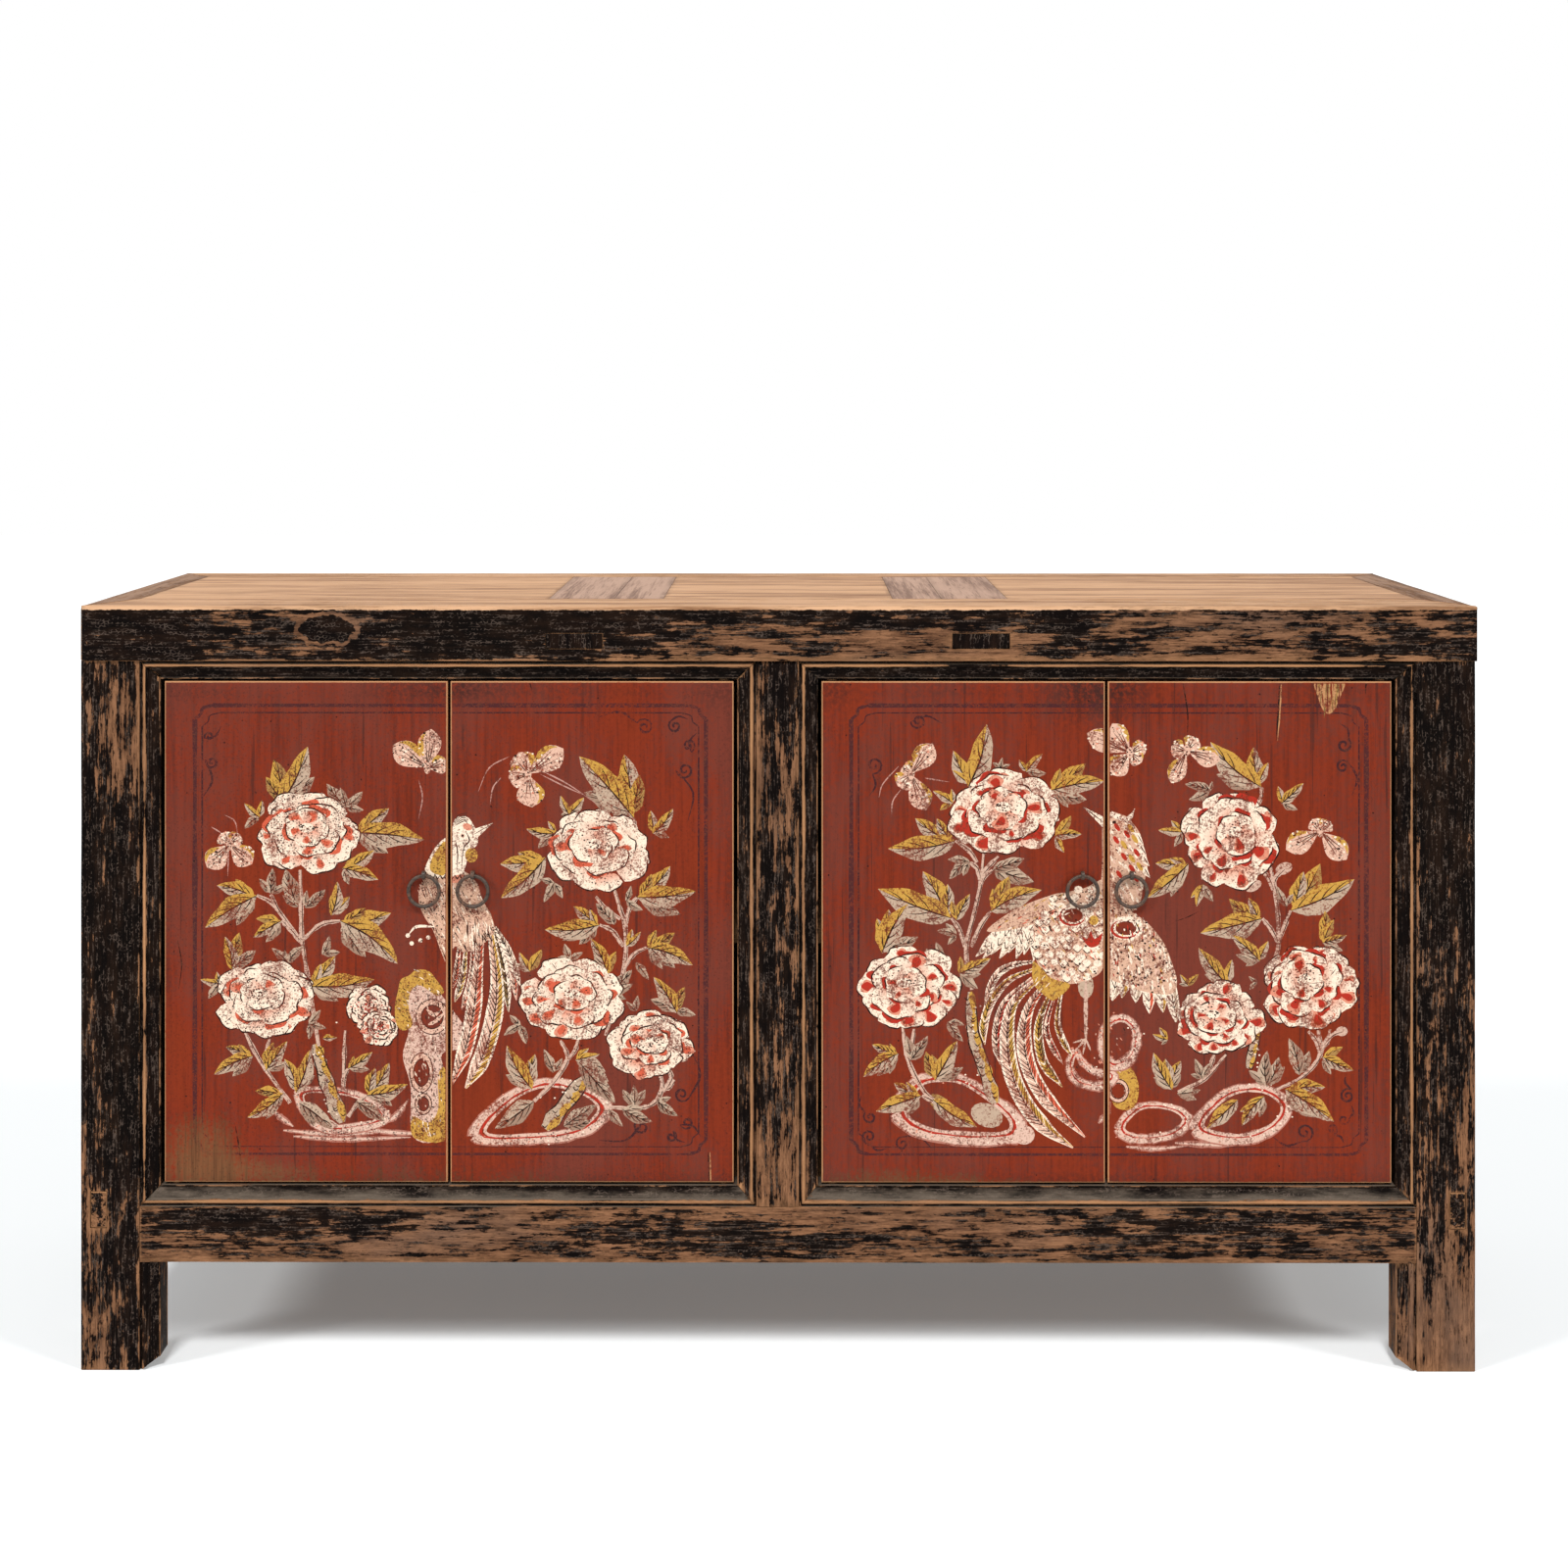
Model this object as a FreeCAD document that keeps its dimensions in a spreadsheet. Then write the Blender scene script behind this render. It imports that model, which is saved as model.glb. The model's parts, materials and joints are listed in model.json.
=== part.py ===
import FreeCAD, Part
import os
import types

import Sketcher

# A low Chinese cupboard with four painted plank doors, in millimetres.
# The front looks along -Y, +X is to the right, and the floor is at Z = 0 under its middle.

LEFT = -1
RIGHT = 1
SIDE_NAMES = {LEFT: "left", RIGHT: "right"}

# The driving sizes: name, value and what it measures.
DRIVING_SIZES = (
    ("body_width", 1600, "case over the outer faces of its legs"),
    ("body_depth", 450, "case over the front and back faces of its legs"),
    ("foot_height", 124, "floor to the underside of the lower rails"),
    ("lower_rail_height", 86, "lower rails at front, back and sides"),
    ("opening_height", 582, "door openings"),
    ("leg_width", 90, "front legs, with their moulding"),
    ("leg_depth", 38, "legs from front to back"),
    ("back_leg_width", 70, "back legs"),
    ("leg_arris", 3, "rounding of the front legs' outer corner"),
    ("foot_bevel_width", 20, "worn bevel under the front feet, along the floor"),
    ("foot_bevel_height", 13, "worn bevel under the front feet, upwards"),
    ("stile_width", 93, "centre stile between the door openings"),
    ("rail_depth", 38, "front rails and centre stile from front to back"),
    ("moulding_width", 22, "moulded edge round the door openings"),
    ("moulding_depth", 9, "foot of the moulding behind the front face"),
    ("bead_radius", 3.2, "bead of the moulding"),
    ("quirk_width", 2.2, "groove between the bead and the flat face"),
    ("lip_width", 2, "lip along the opening"),
    ("lip_rise", 1, "lip above the foot of the moulding"),
    ("lap_cover", 3, "wood left behind the moulding where frame pieces lap"),
    ("side_inset", 4, "side and back rails behind the legs' outer faces"),
    ("plain_rail_thickness", 34, "side and back rails"),
    ("upper_rail_height", 60, "upper rails of the sides and back"),
    ("back_stile_width", 60, "stile in the middle of the back"),
    ("panel_thickness", 12, "side and back panels"),
    ("groove_depth", 8, "grooves that hold panels and boards"),
    ("panel_play", 0.5, "gap left for a panel to swell in its groove"),
    ("tenon_thickness", 16, "hidden tenons"),
    ("tenon_length", 22, "hidden tenons"),
    ("tenon_shoulder", 5, "hidden tenons inside the edges of their piece"),
    ("stub_length", 15, "tenon under the centre stile"),
    ("through_tenon_thickness", 19, "lower side rails' tenons that show on the legs"),
    ("through_tenon_height", 42, "lower side rails' tenons that show on the legs"),
    ("floor_thickness", 15, "floor boards"),
    ("floor_drop", 18, "floor boards below the lower rails' upper edge"),
    ("cross_rail_width", 60, "rail under the floor boards"),
    ("cross_rail_height", 40, "rail under the floor boards"),
    ("partition_thickness", 18, "upright board between the two halves"),
    ("shelf_rise", 305, "shelves above the floor boards"),
    ("shelf_thickness", 18, "shelves"),
    ("shelf_gap", 2, "shelves behind the doors' battens and before the back legs"),
    ("bearer_size", 25, "strips under the shelves"),
    ("stop_length", 50, "door stops"),
    ("stop_thickness", 12, "door stops"),
    ("stop_height", 14, "door stops"),
    ("stop_gap", 0.4, "closed doors in front of their stop"),
    ("top_thickness", 63, "frame of the top"),
    ("top_overhang", 3, "top over the legs, all round"),
    ("top_round", 6, "rounding of the top's upper edge"),
    ("top_front_width", 90, "front rail of the top"),
    ("top_back_width", 60, "back rail of the top"),
    ("top_end_width", 46, "end rails of the top"),
    ("cross_board_width", 78, "wide cross boards of the top"),
    ("cross_board_lift", 9, "underside of the wide cross boards above the case"),
    ("cross_tenon_inset", 6, "cross boards' tenons inside their edges"),
    ("cross_tenon_height", 18, "cross boards' tenons that show on the front edge"),
    ("narrow_board_width", 58, "narrow boards of the top"),
    ("centre_panel_width", 272, "middle panel of the top"),
    ("top_panel_thickness", 20, "panels and narrow boards of the top"),
    ("tongue_thickness", 8, "tongues of the top's panels"),
    ("tongue_depth", 8, "tongues below the top's upper face"),
    ("corner_tenon_thickness", 14, "tenons across the top's mitres"),
    ("corner_tenon_width", 26, "tenons across the top's mitres"),
    ("door_thickness", 20, "door boards"),
    ("door_recess", 1, "doors behind the moulding's lip"),
    ("hinge_gap", 4, "doors beside their pivots"),
    ("meeting_gap", 3.2, "between the doors of a pair"),
    ("head_gap", 2.5, "above and below the doors"),
    ("door_arris", 2.5, "rounding of the doors' front edges"),
    ("edge_board_width", 105, "outer two of each door's boards"),
    ("pivot_radius", 6, "door pivots"),
    ("pivot_inset", 12, "pivot axis from the door's edge"),
    ("pivot_seat", 12, "pivots in the rails"),
    ("pivot_root", 26, "pivots in the doors"),
    ("pivot_clearance", 0.06, "pivots in their holes, all round"),
    ("pivot_end_gap", 0.2, "end of a pivot in its hole"),
    ("batten_width", 45, "battens across the back of the doors"),
    ("batten_thickness", 16, "battens"),
    ("batten_housing", 4, "battens let into the doors"),
    ("batten_inset", 24, "battens from the doors' edges"),
    ("batten_offset", 70, "battens from the doors' ends"),
    ("pull_inset", 26.5, "pulls from the doors' meeting edge"),
    ("pull_rise", 355, "eyes of the pulls above the doors' foot"),
    ("ring_radius", 17.6, "middle of the ring's wire"),
    ("ring_wire_radius", 1.9, "ring's wire"),
    ("ring_play", 0.35, "ring above its seat in the eye"),
    ("eye_bore_radius", 3.2, "bore of the strap eye"),
    ("strap_thickness", 2, "iron strap"),
    ("strap_width", 4.5, "iron strap"),
    ("tail_length", 13, "clenched tails of the strap"),
)


class Size:
    """A length: its expression on the sheet of sizes, and its value as built."""

    def __init__(self, text, value):
        self.text = text
        self.value = value

    def joined(self, sign, other, value):
        return Size("(%s %s %s)" % (self.text, sign, other.text), value)

    def __add__(self, other):
        other = as_size(other)
        return self.joined("+", other, self.value + other.value)

    def __sub__(self, other):
        other = as_size(other)
        return self.joined("-", other, self.value - other.value)

    def __mul__(self, other):
        other = as_size(other)
        return self.joined("*", other, self.value * other.value)

    def __truediv__(self, other):
        other = as_size(other)
        return self.joined("/", other, self.value / other.value)

    def __neg__(self):
        return as_size(0) - self

    __radd__ = __add__
    __rmul__ = __mul__


def as_size(length):
    if isinstance(length, Size):
        return length
    return Size(repr(float(length)), float(length))


class Arc:
    """A round stretch of an outline between the corners before and after it."""

    def __init__(self, centre, turn):
        self.centre = centre
        self.turn = turn


COUNTERCLOCKWISE = 1
CLOCKWISE = -1

doc = FreeCAD.newDocument("Sideboard")
sheet = doc.addObject("Spreadsheet::Sheet", "Sizes")
for row, (size_name, size_value, meaning) in enumerate(DRIVING_SIZES, start=1):
    sheet.set("A%d" % row, meaning)
    sheet.set("B%d" % row, str(size_value))
    sheet.setAlias("B%d" % row, size_name)
doc.recompute()

s = types.SimpleNamespace()
for size_name, _, _ in DRIVING_SIZES:
    setattr(s, size_name, Size("Sizes." + size_name, float(sheet.get(size_name))))

nodes = []


def node(piece, label):
    """Keeps a finished sub-part under the name of its file."""
    piece.Label = label
    nodes.append(piece)
    return piece


def mirrored(side, low, high):
    """A span on the right of the middle, or its mirror image on the left."""
    if side == RIGHT:
        return low, high
    return -as_size(high), -as_size(low)


def board(name, across, along, upright):
    """A squared piece between two lengths on X, on Y and on Z."""
    made = doc.addObject("Part::Box", name)
    spans = (("Length", "x", across), ("Width", "y", along), ("Height", "z", upright))
    for extent, axis, (low, high) in spans:
        made.setExpression(extent, (as_size(high) - low).text)
        made.setExpression("Placement.Base." + axis, as_size(low).text)
    return made


def rod(name, radius, centre, length, direction=None):
    """A round piece from a centre point, upwards or in another direction."""
    made = doc.addObject("Part::Cylinder", name)
    if direction is not None:
        turn = FreeCAD.Rotation(FreeCAD.Vector(0, 0, 1), FreeCAD.Vector(*direction))
        made.Placement = FreeCAD.Placement(FreeCAD.Vector(), turn)
    made.setExpression("Radius", radius.text)
    made.setExpression("Height", as_size(length).text)
    for axis, place in zip("xyz", centre):
        made.setExpression("Placement.Base." + axis, as_size(place).text)
    return made


def join(name, pieces):
    made = doc.addObject("Part::MultiFuse", name)
    made.Shapes = pieces
    made.Refine = True
    return made


def cut(name, base, tools):
    made = doc.addObject("Part::Cut", name)
    made.Base = base
    made.Tool = tools[0] if len(tools) == 1 else join(name + "_cuts", tools)
    made.Refine = True
    return made


def group(name, pieces):
    made = doc.addObject("Part::Compound", name)
    made.Links = pieces
    return made


def backwards(outline):
    """The same outline, run the other way."""
    turned = []
    for item in reversed(outline):
        turned.append(Arc(item.centre, -item.turn) if isinstance(item, Arc) else item)
    return turned


def mirror_outline(side, outline):
    """An outline on the right of the middle, or its mirror image on the left."""
    if side == RIGHT:
        return outline
    flipped = []
    for item in outline:
        if isinstance(item, Arc):
            flipped.append(Arc((-as_size(item.centre[0]), item.centre[1]), -item.turn))
        else:
            flipped.append((-as_size(item[0]), item[1]))
    return flipped


def place_point(sketch, edge, position, point, axes):
    """Ties a point of the sketch to the sizes, along the given axes."""
    for axis in axes:
        length = as_size(point["XY".index(axis)])
        if length.text == as_size(0).text:
            axis_line = -2 if axis == "X" else -1
            sketch.addConstraint(Sketcher.Constraint("PointOnObject", edge, position, axis_line))
            continue
        rule = Sketcher.Constraint("Distance" + axis, -1, 1, edge, position, length.value)
        sketch.setExpression("Constraints[%d]" % sketch.addConstraint(rule), length.text)


def draw(sketch, outline):
    """Draws a closed outline of corners and arcs, every point tied to the sizes."""
    edges = []
    for index, item in enumerate(outline):
        if isinstance(item, Arc):
            continue
        following = outline[(index + 1) % len(outline)]
        if isinstance(following, Arc):
            edges.append((item, following, outline[(index + 2) % len(outline)]))
        else:
            edges.append((item, None, following))

    def spot(point):
        return FreeCAD.Vector(as_size(point[0]).value, as_size(point[1]).value, 0)

    upward = FreeCAD.Vector(0, 0, 1)
    ends = []
    for first, bend, last in edges:
        if bend is None:
            sketch.addGeometry(Part.LineSegment(spot(first), spot(last)), False)
            ends.append((1, 2))
            continue
        middle = spot(bend.centre)
        reach = spot(first) - middle
        if bend.turn == COUNTERCLOCKWISE:
            start, finish = first, last
            ends.append((1, 2))
        else:
            start, finish = last, first
            ends.append((2, 1))
        circle = Part.Circle(middle, upward, reach.Length)
        arc = Part.ArcOfCircle(circle, circle.parameter(spot(start)), circle.parameter(spot(finish)))
        sketch.addGeometry(arc, False)
    for edge, (first, bend, last) in enumerate(edges):
        before = edge - 1 if edge else len(edges) - 1
        sketch.addConstraint(Sketcher.Constraint("Coincident", before, ends[before][1], edge, ends[edge][0]))
        axes = "XY"
        arrived = edges[before][1]
        if arrived is not None:
            reach = spot(first) - spot(arrived.centre)
            axes = "Y" if abs(reach.x) > abs(reach.y) else "X"
        place_point(sketch, edge, ends[edge][0], first, axes)
        if bend is not None:
            place_point(sketch, edge, 3, bend.centre, "XY")


def extruded(name, plane, outline, low, high):
    """A body padded from an outline on an origin plane, between two lengths across the plane."""
    body = doc.addObject("PartDesign::Body", name)
    sketch = body.newObject("Sketcher::SketchObject", name + "_outline")
    base_plane = [item for item in body.Origin.OriginFeatures if item.Role == plane][0]
    sketch.AttachmentSupport = (base_plane, [""])
    sketch.MapMode = "FlatFace"
    draw(sketch, outline)
    # The normal of the XZ plane looks along -Y, so the pad there starts from its far end.
    start = -as_size(high) if plane == "XZ_Plane" else as_size(low)
    sketch.setExpression("AttachmentOffset.Base.z", start.text)
    pad = body.newObject("PartDesign::Pad", name + "_pad")
    pad.Profile = sketch
    pad.setExpression("Length", (as_size(high) - low).text)
    body.Tip = pad
    return body


# Main places worked out from the driving sizes
half_width = s.body_width / 2
front = -(s.body_depth / 2)
back = s.body_depth / 2
rail_top = s.foot_height + s.lower_rail_height
opening_top = rail_top + s.opening_height
case_top = opening_top + s.moulding_width
top_face = case_top + s.top_thickness
opening_side = half_width - s.leg_width
half_stile = s.stile_width / 2
rail_back = front + s.rail_depth
leg_back = front + s.leg_depth
back_leg_front = back - s.leg_depth
back_leg_side = half_width - s.back_leg_width
lap_back = front + s.moulding_depth + s.lap_cover
flat_side = opening_side + s.moulding_width
flat_top = rail_top - s.moulding_width

# Side and back framing
side_outer = half_width - s.side_inset
side_inner = side_outer - s.plain_rail_thickness
side_middle = (side_outer + side_inner) / 2
back_outer = back - s.side_inset
back_inner = back_outer - s.plain_rail_thickness
back_middle = (back_outer + back_inner) / 2
upper_rail_foot = case_top - s.upper_rail_height
half_tenon = s.tenon_thickness / 2
half_through = s.through_tenon_thickness / 2
half_panel = s.panel_thickness / 2

# Tenons of the front frame, midway behind the lap of the moulding
tenon_middle = (lap_back + rail_back) / 2
tenon_front = tenon_middle - half_tenon
tenon_back = tenon_middle + half_tenon
front_tenon_end = side_inner - s.tenon_shoulder

# Inside
floor_top = rail_top - s.floor_drop
floor_under = floor_top - s.floor_thickness
half_partition = s.partition_thickness / 2
half_cross = s.cross_rail_width / 2
shelf_top = floor_top + s.shelf_rise
shelf_under = shelf_top - s.shelf_thickness

# Top
top_side = half_width + s.top_overhang
top_front = front - s.top_overhang
top_back = back + s.top_overhang
field_side = top_side - s.top_end_width
field_front = top_front + s.top_front_width
field_back = top_back - s.top_back_width
half_centre = s.centre_panel_width / 2
narrow_side = half_centre + s.narrow_board_width
cross_side = narrow_side + s.cross_board_width
panel_under = top_face - s.top_panel_thickness
tongue_top = top_face - s.tongue_depth
tongue_under = tongue_top - s.tongue_thickness

# Doors
door_front = front + s.moulding_depth - s.lip_rise + s.door_recess
door_back = door_front + s.door_thickness
door_foot = rail_top + s.head_gap
door_head = opening_top - s.head_gap
batten_front = door_back - s.batten_housing
batten_back = batten_front + s.batten_thickness
pivot_depth = door_front + s.door_thickness / 2
eye_height = door_foot + s.pull_rise


def moulding(place, turn):
    """The moulded edge from the flat face down to the opening: place maps a distance from
    the opening and a depth behind the front face into the sketch."""
    bead_outer = s.moulding_width - s.quirk_width
    bead_middle = bead_outer - s.bead_radius
    bead_inner = bead_middle - s.bead_radius
    lip_depth = s.moulding_depth - s.lip_rise
    return [
        place(s.moulding_width, as_size(0)),
        place(s.moulding_width, s.bead_radius),
        place(bead_outer, s.bead_radius),
        Arc(place(bead_middle, s.bead_radius), turn),
        place(bead_inner, s.bead_radius),
        place(s.lip_width, s.moulding_depth),
        place(s.lip_width, lip_depth),
        place(as_size(0), lip_depth),
    ]


def lower_lap(name, side):
    """Where the lower front rail laps over a leg's moulding, mitred above."""
    outline = [
        (opening_side, s.foot_height),
        (flat_side, s.foot_height),
        (flat_side, flat_top),
        (opening_side, rail_top),
    ]
    return extruded(name, "XZ_Plane", mirror_outline(side, outline), front, lap_back)


def upper_mitre(name, side, edge, inward):
    """The mitre of an upper rail's moulding over an upright's, at the upright's edge."""
    outline = [
        (edge, opening_top),
        (edge + inward * s.moulding_width, case_top),
        (edge, case_top),
    ]
    return extruded(name, "XZ_Plane", mirror_outline(side, outline), front, lap_back)


def side_panel_span():
    return side_middle - half_panel, side_middle + half_panel


def panel_grooves(name, side):
    """Grooves in a front and a back leg for the side panel, and in the back leg for the back panel."""
    upright = (rail_top, upper_rail_foot)
    across = mirrored(side, *side_panel_span())
    front_groove = board(name + "_front", across, (leg_back - s.groove_depth, leg_back), upright)
    back_groove = board(name + "_back", across, (back_leg_front, back_leg_front + s.groove_depth), upright)
    rear_across = mirrored(side, back_leg_side, back_leg_side + s.groove_depth)
    rear_along = (back_middle - half_panel, back_middle + half_panel)
    rear_groove = board(name + "_rear", rear_across, rear_along, upright)
    return front_groove, back_groove, rear_groove


def lower_side_tenon(name, side, along):
    """A through tenon of the lower side rail, which shows on the faces of the legs."""
    across = mirrored(side, side_middle - half_through, side_middle + half_through)
    tenon_top = rail_top - s.tenon_shoulder
    return board(name, across, along, (tenon_top - s.through_tenon_height, tenon_top))


def upper_side_tenon(name, side, along):
    across = mirrored(side, side_middle - half_tenon, side_middle + half_tenon)
    return board(name, across, along, (upper_rail_foot + s.tenon_shoulder, case_top - s.tenon_shoulder))


def lower_front_tenon(name, side):
    across = mirrored(side, opening_side, front_tenon_end)
    upright = (s.foot_height + s.tenon_shoulder, flat_top - s.tenon_shoulder)
    return board(name, across, (tenon_front, tenon_back), upright)


def upper_front_tenon(name, side, low, high):
    upright = (opening_top + s.tenon_shoulder, case_top - s.tenon_shoulder)
    return board(name, mirrored(side, low, high), (tenon_front, tenon_back), upright)


def leg_head_tenon(name, across, along):
    """A stub on a leg or stile that goes up into the top's frame."""
    return board(name, across, along, (case_top, case_top + s.tenon_length))


def front_leg_head(name, side):
    low = opening_side + s.tenon_shoulder
    across = mirrored(side, low, low + s.tenon_length)
    return leg_head_tenon(name, across, (tenon_front, tenon_back))


def back_leg_head(name, side):
    low = back_leg_side + s.tenon_shoulder
    across = mirrored(side, low, low + s.tenon_thickness)
    return leg_head_tenon(name, across, (back_middle - half_tenon, back_middle + half_tenon))


def stile_head(name):
    across = (-s.tenon_length, s.tenon_length)
    return leg_head_tenon(name, across, (tenon_front, tenon_back))


def back_rail_tenon(name, side, upright):
    across = mirrored(side, back_leg_side, back_leg_side + s.tenon_length)
    return board(name, across, (back_middle - half_tenon, back_middle + half_tenon), upright)


def bearer_section(side):
    """The strip beside the side panel that carries a shelf's outer end."""
    outer = side_middle - half_panel
    across = mirrored(side, outer - s.bearer_size, outer)
    return across, (shelf_under - s.bearer_size, shelf_under)


def outer_bearer(name, side):
    across, upright = bearer_section(side)
    along = (leg_back - s.groove_depth, back_leg_front + s.groove_depth)
    return board(name, across, along, upright)


def lower_back_tenon_span():
    return s.foot_height + s.tenon_shoulder, rail_top - s.tenon_shoulder


def upper_back_tenon_span():
    return upper_rail_foot + s.tenon_shoulder, case_top - s.tenon_shoulder


def make_front_leg(side):
    name = "leg_front_" + SIDE_NAMES[side]
    rounded = half_width - s.leg_arris
    outline = [
        (half_width, leg_back),
        (half_width, front + s.leg_arris),
        Arc((rounded, front + s.leg_arris), CLOCKWISE),
        (rounded, front),
        *moulding(lambda edge, depth: (opening_side + edge, front + depth), CLOCKWISE),
        (opening_side, leg_back),
    ]
    post = extruded(name + "_post", "XY_Plane", mirror_outline(side, outline), as_size(0), case_top)
    solid = join(name + "_tenoned", [post, front_leg_head(name + "_head", side)])
    bevel_outline = [
        (opening_side, as_size(0)),
        (opening_side + s.foot_bevel_width, as_size(0)),
        (opening_side, s.foot_bevel_height),
    ]
    bevel = extruded(name + "_bevel", "XZ_Plane", mirror_outline(side, bevel_outline), front, leg_back)
    inner_end = leg_back - s.tenon_length
    front_groove, _, _ = panel_grooves(name + "_groove", side)
    cuts = [
        bevel,
        lower_lap(name + "_lap", side),
        upper_mitre(name + "_mitre", side, opening_side, 1),
        lower_front_tenon(name + "_lower_mortise", side),
        upper_front_tenon(name + "_upper_mortise", side, opening_side, opening_side + s.tenon_length),
        lower_side_tenon(name + "_through_mortise", side, (front, leg_back)),
        upper_side_tenon(name + "_side_mortise", side, (inner_end, leg_back)),
        outer_bearer(name + "_bearer_mortise", side),
        front_groove,
    ]
    node(cut(name, solid, cuts), name)


def make_back_leg(side):
    name = "leg_back_" + SIDE_NAMES[side]
    across = mirrored(side, back_leg_side, half_width)
    post = board(name + "_post", across, (back_leg_front, back), (as_size(0), case_top))
    solid = join(name + "_tenoned", [post, back_leg_head(name + "_head", side)])
    inner_end = back_leg_front + s.tenon_length
    _, back_groove, rear_groove = panel_grooves(name + "_groove", side)
    cuts = [
        lower_side_tenon(name + "_through_mortise", side, (back_leg_front, back)),
        upper_side_tenon(name + "_side_mortise", side, (back_leg_front, inner_end)),
        back_rail_tenon(name + "_lower_mortise", side, lower_back_tenon_span()),
        back_rail_tenon(name + "_upper_mortise", side, upper_back_tenon_span()),
        outer_bearer(name + "_bearer_mortise", side),
        back_groove,
        rear_groove,
    ]
    node(cut(name, solid, cuts), name)


def stile_foot_tenon(name):
    across = (-s.tenon_length, s.tenon_length)
    return board(name, across, (tenon_front, tenon_back), (rail_top - s.stub_length, rail_top))


def make_centre_stile():
    name = "centre_stile"
    right = moulding(lambda edge, depth: (half_stile - edge, front + depth), COUNTERCLOCKWISE)
    outline = [
        *backwards(mirror_outline(LEFT, right)),
        *right,
        (half_stile, rail_back),
        (-half_stile, rail_back),
    ]
    post = extruded(name + "_post", "XY_Plane", outline, flat_top, case_top)
    shoulder = board(name + "_shoulder", (-half_stile, half_stile), (lap_back, rail_back), (flat_top, rail_top))
    trimmed = cut(name + "_trimmed", post, [shoulder])
    solid = join(name + "_tenoned", [trimmed, stile_head(name + "_head"), stile_foot_tenon(name + "_foot")])
    cuts = []
    for side in (LEFT, RIGHT):
        tag = name + "_" + SIDE_NAMES[side]
        foot_mitre = [
            (half_stile, flat_top),
            (half_stile, rail_top),
            (half_stile - s.moulding_width, flat_top),
        ]
        cuts.append(extruded(tag + "_foot_mitre", "XZ_Plane", mirror_outline(side, foot_mitre), front, lap_back))
        cuts.append(upper_mitre(tag + "_mitre", side, half_stile, -1))
        cuts.append(upper_front_tenon(tag + "_mortise", side, half_stile - s.tenon_length, half_stile))
    node(cut(name, solid, cuts), name)


def pivot_place(side, hinge):
    """X of a door's pivot: side is its half of the case, hinge the side of the opening it hangs on."""
    inset = s.hinge_gap + s.pivot_inset
    outer = hinge == side
    return side * (opening_side - inset) if outer else side * (half_stile + inset)


def pivot_hole(name, side, hinge, low):
    radius = s.pivot_radius + s.pivot_clearance
    return rod(name, radius, (pivot_place(side, hinge), pivot_depth, low), s.pivot_seat + s.pivot_end_gap)


def make_upper_rail(side):
    name = "upper_rail_" + SIDE_NAMES[side]
    profile = moulding(lambda edge, depth: (front + depth, opening_top + edge), COUNTERCLOCKWISE)
    # This rail is moulding only, so its outline leaves out the corner of a flat face.
    outline = profile[1:] + [(rail_back, opening_top), (rail_back, case_top)]
    low, high = mirrored(side, half_stile - s.moulding_width, flat_side)
    bar = extruded(name + "_bar", "YZ_Plane", outline, low, high)
    upright = (opening_top, case_top)
    stile_end = mirrored(side, half_stile - s.moulding_width, half_stile)
    leg_end = mirrored(side, opening_side, flat_side)
    stile_mitre = [
        (half_stile, opening_top),
        (half_stile - s.moulding_width, opening_top),
        (half_stile - s.moulding_width, case_top),
    ]
    leg_mitre = [
        (opening_side, opening_top),
        (flat_side, opening_top),
        (flat_side, case_top),
    ]
    trimmed = cut(name + "_trimmed", bar, [
        board(name + "_stile_shoulder", stile_end, (lap_back, rail_back), upright),
        board(name + "_leg_shoulder", leg_end, (lap_back, rail_back), upright),
        extruded(name + "_stile_mitre", "XZ_Plane", mirror_outline(side, stile_mitre), front, lap_back),
        extruded(name + "_leg_mitre", "XZ_Plane", mirror_outline(side, leg_mitre), front, lap_back),
    ])
    solid = join(name + "_tenoned", [
        trimmed,
        upper_front_tenon(name + "_stile_tenon", side, half_stile - s.tenon_length, half_stile),
        upper_front_tenon(name + "_leg_tenon", side, opening_side, opening_side + s.tenon_length),
    ])
    holes = [pivot_hole(name + "_pivot_" + SIDE_NAMES[hinge], side, hinge, opening_top) for hinge in (LEFT, RIGHT)]
    node(cut(name, solid, holes), name)


def cross_rail_tenon(name, along):
    half_tongue = half_cross - s.tenon_shoulder
    foot = floor_under - s.cross_rail_height + s.tenon_shoulder
    return board(name, (-half_tongue, half_tongue), along, (foot, floor_under - s.tenon_shoulder))


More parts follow.
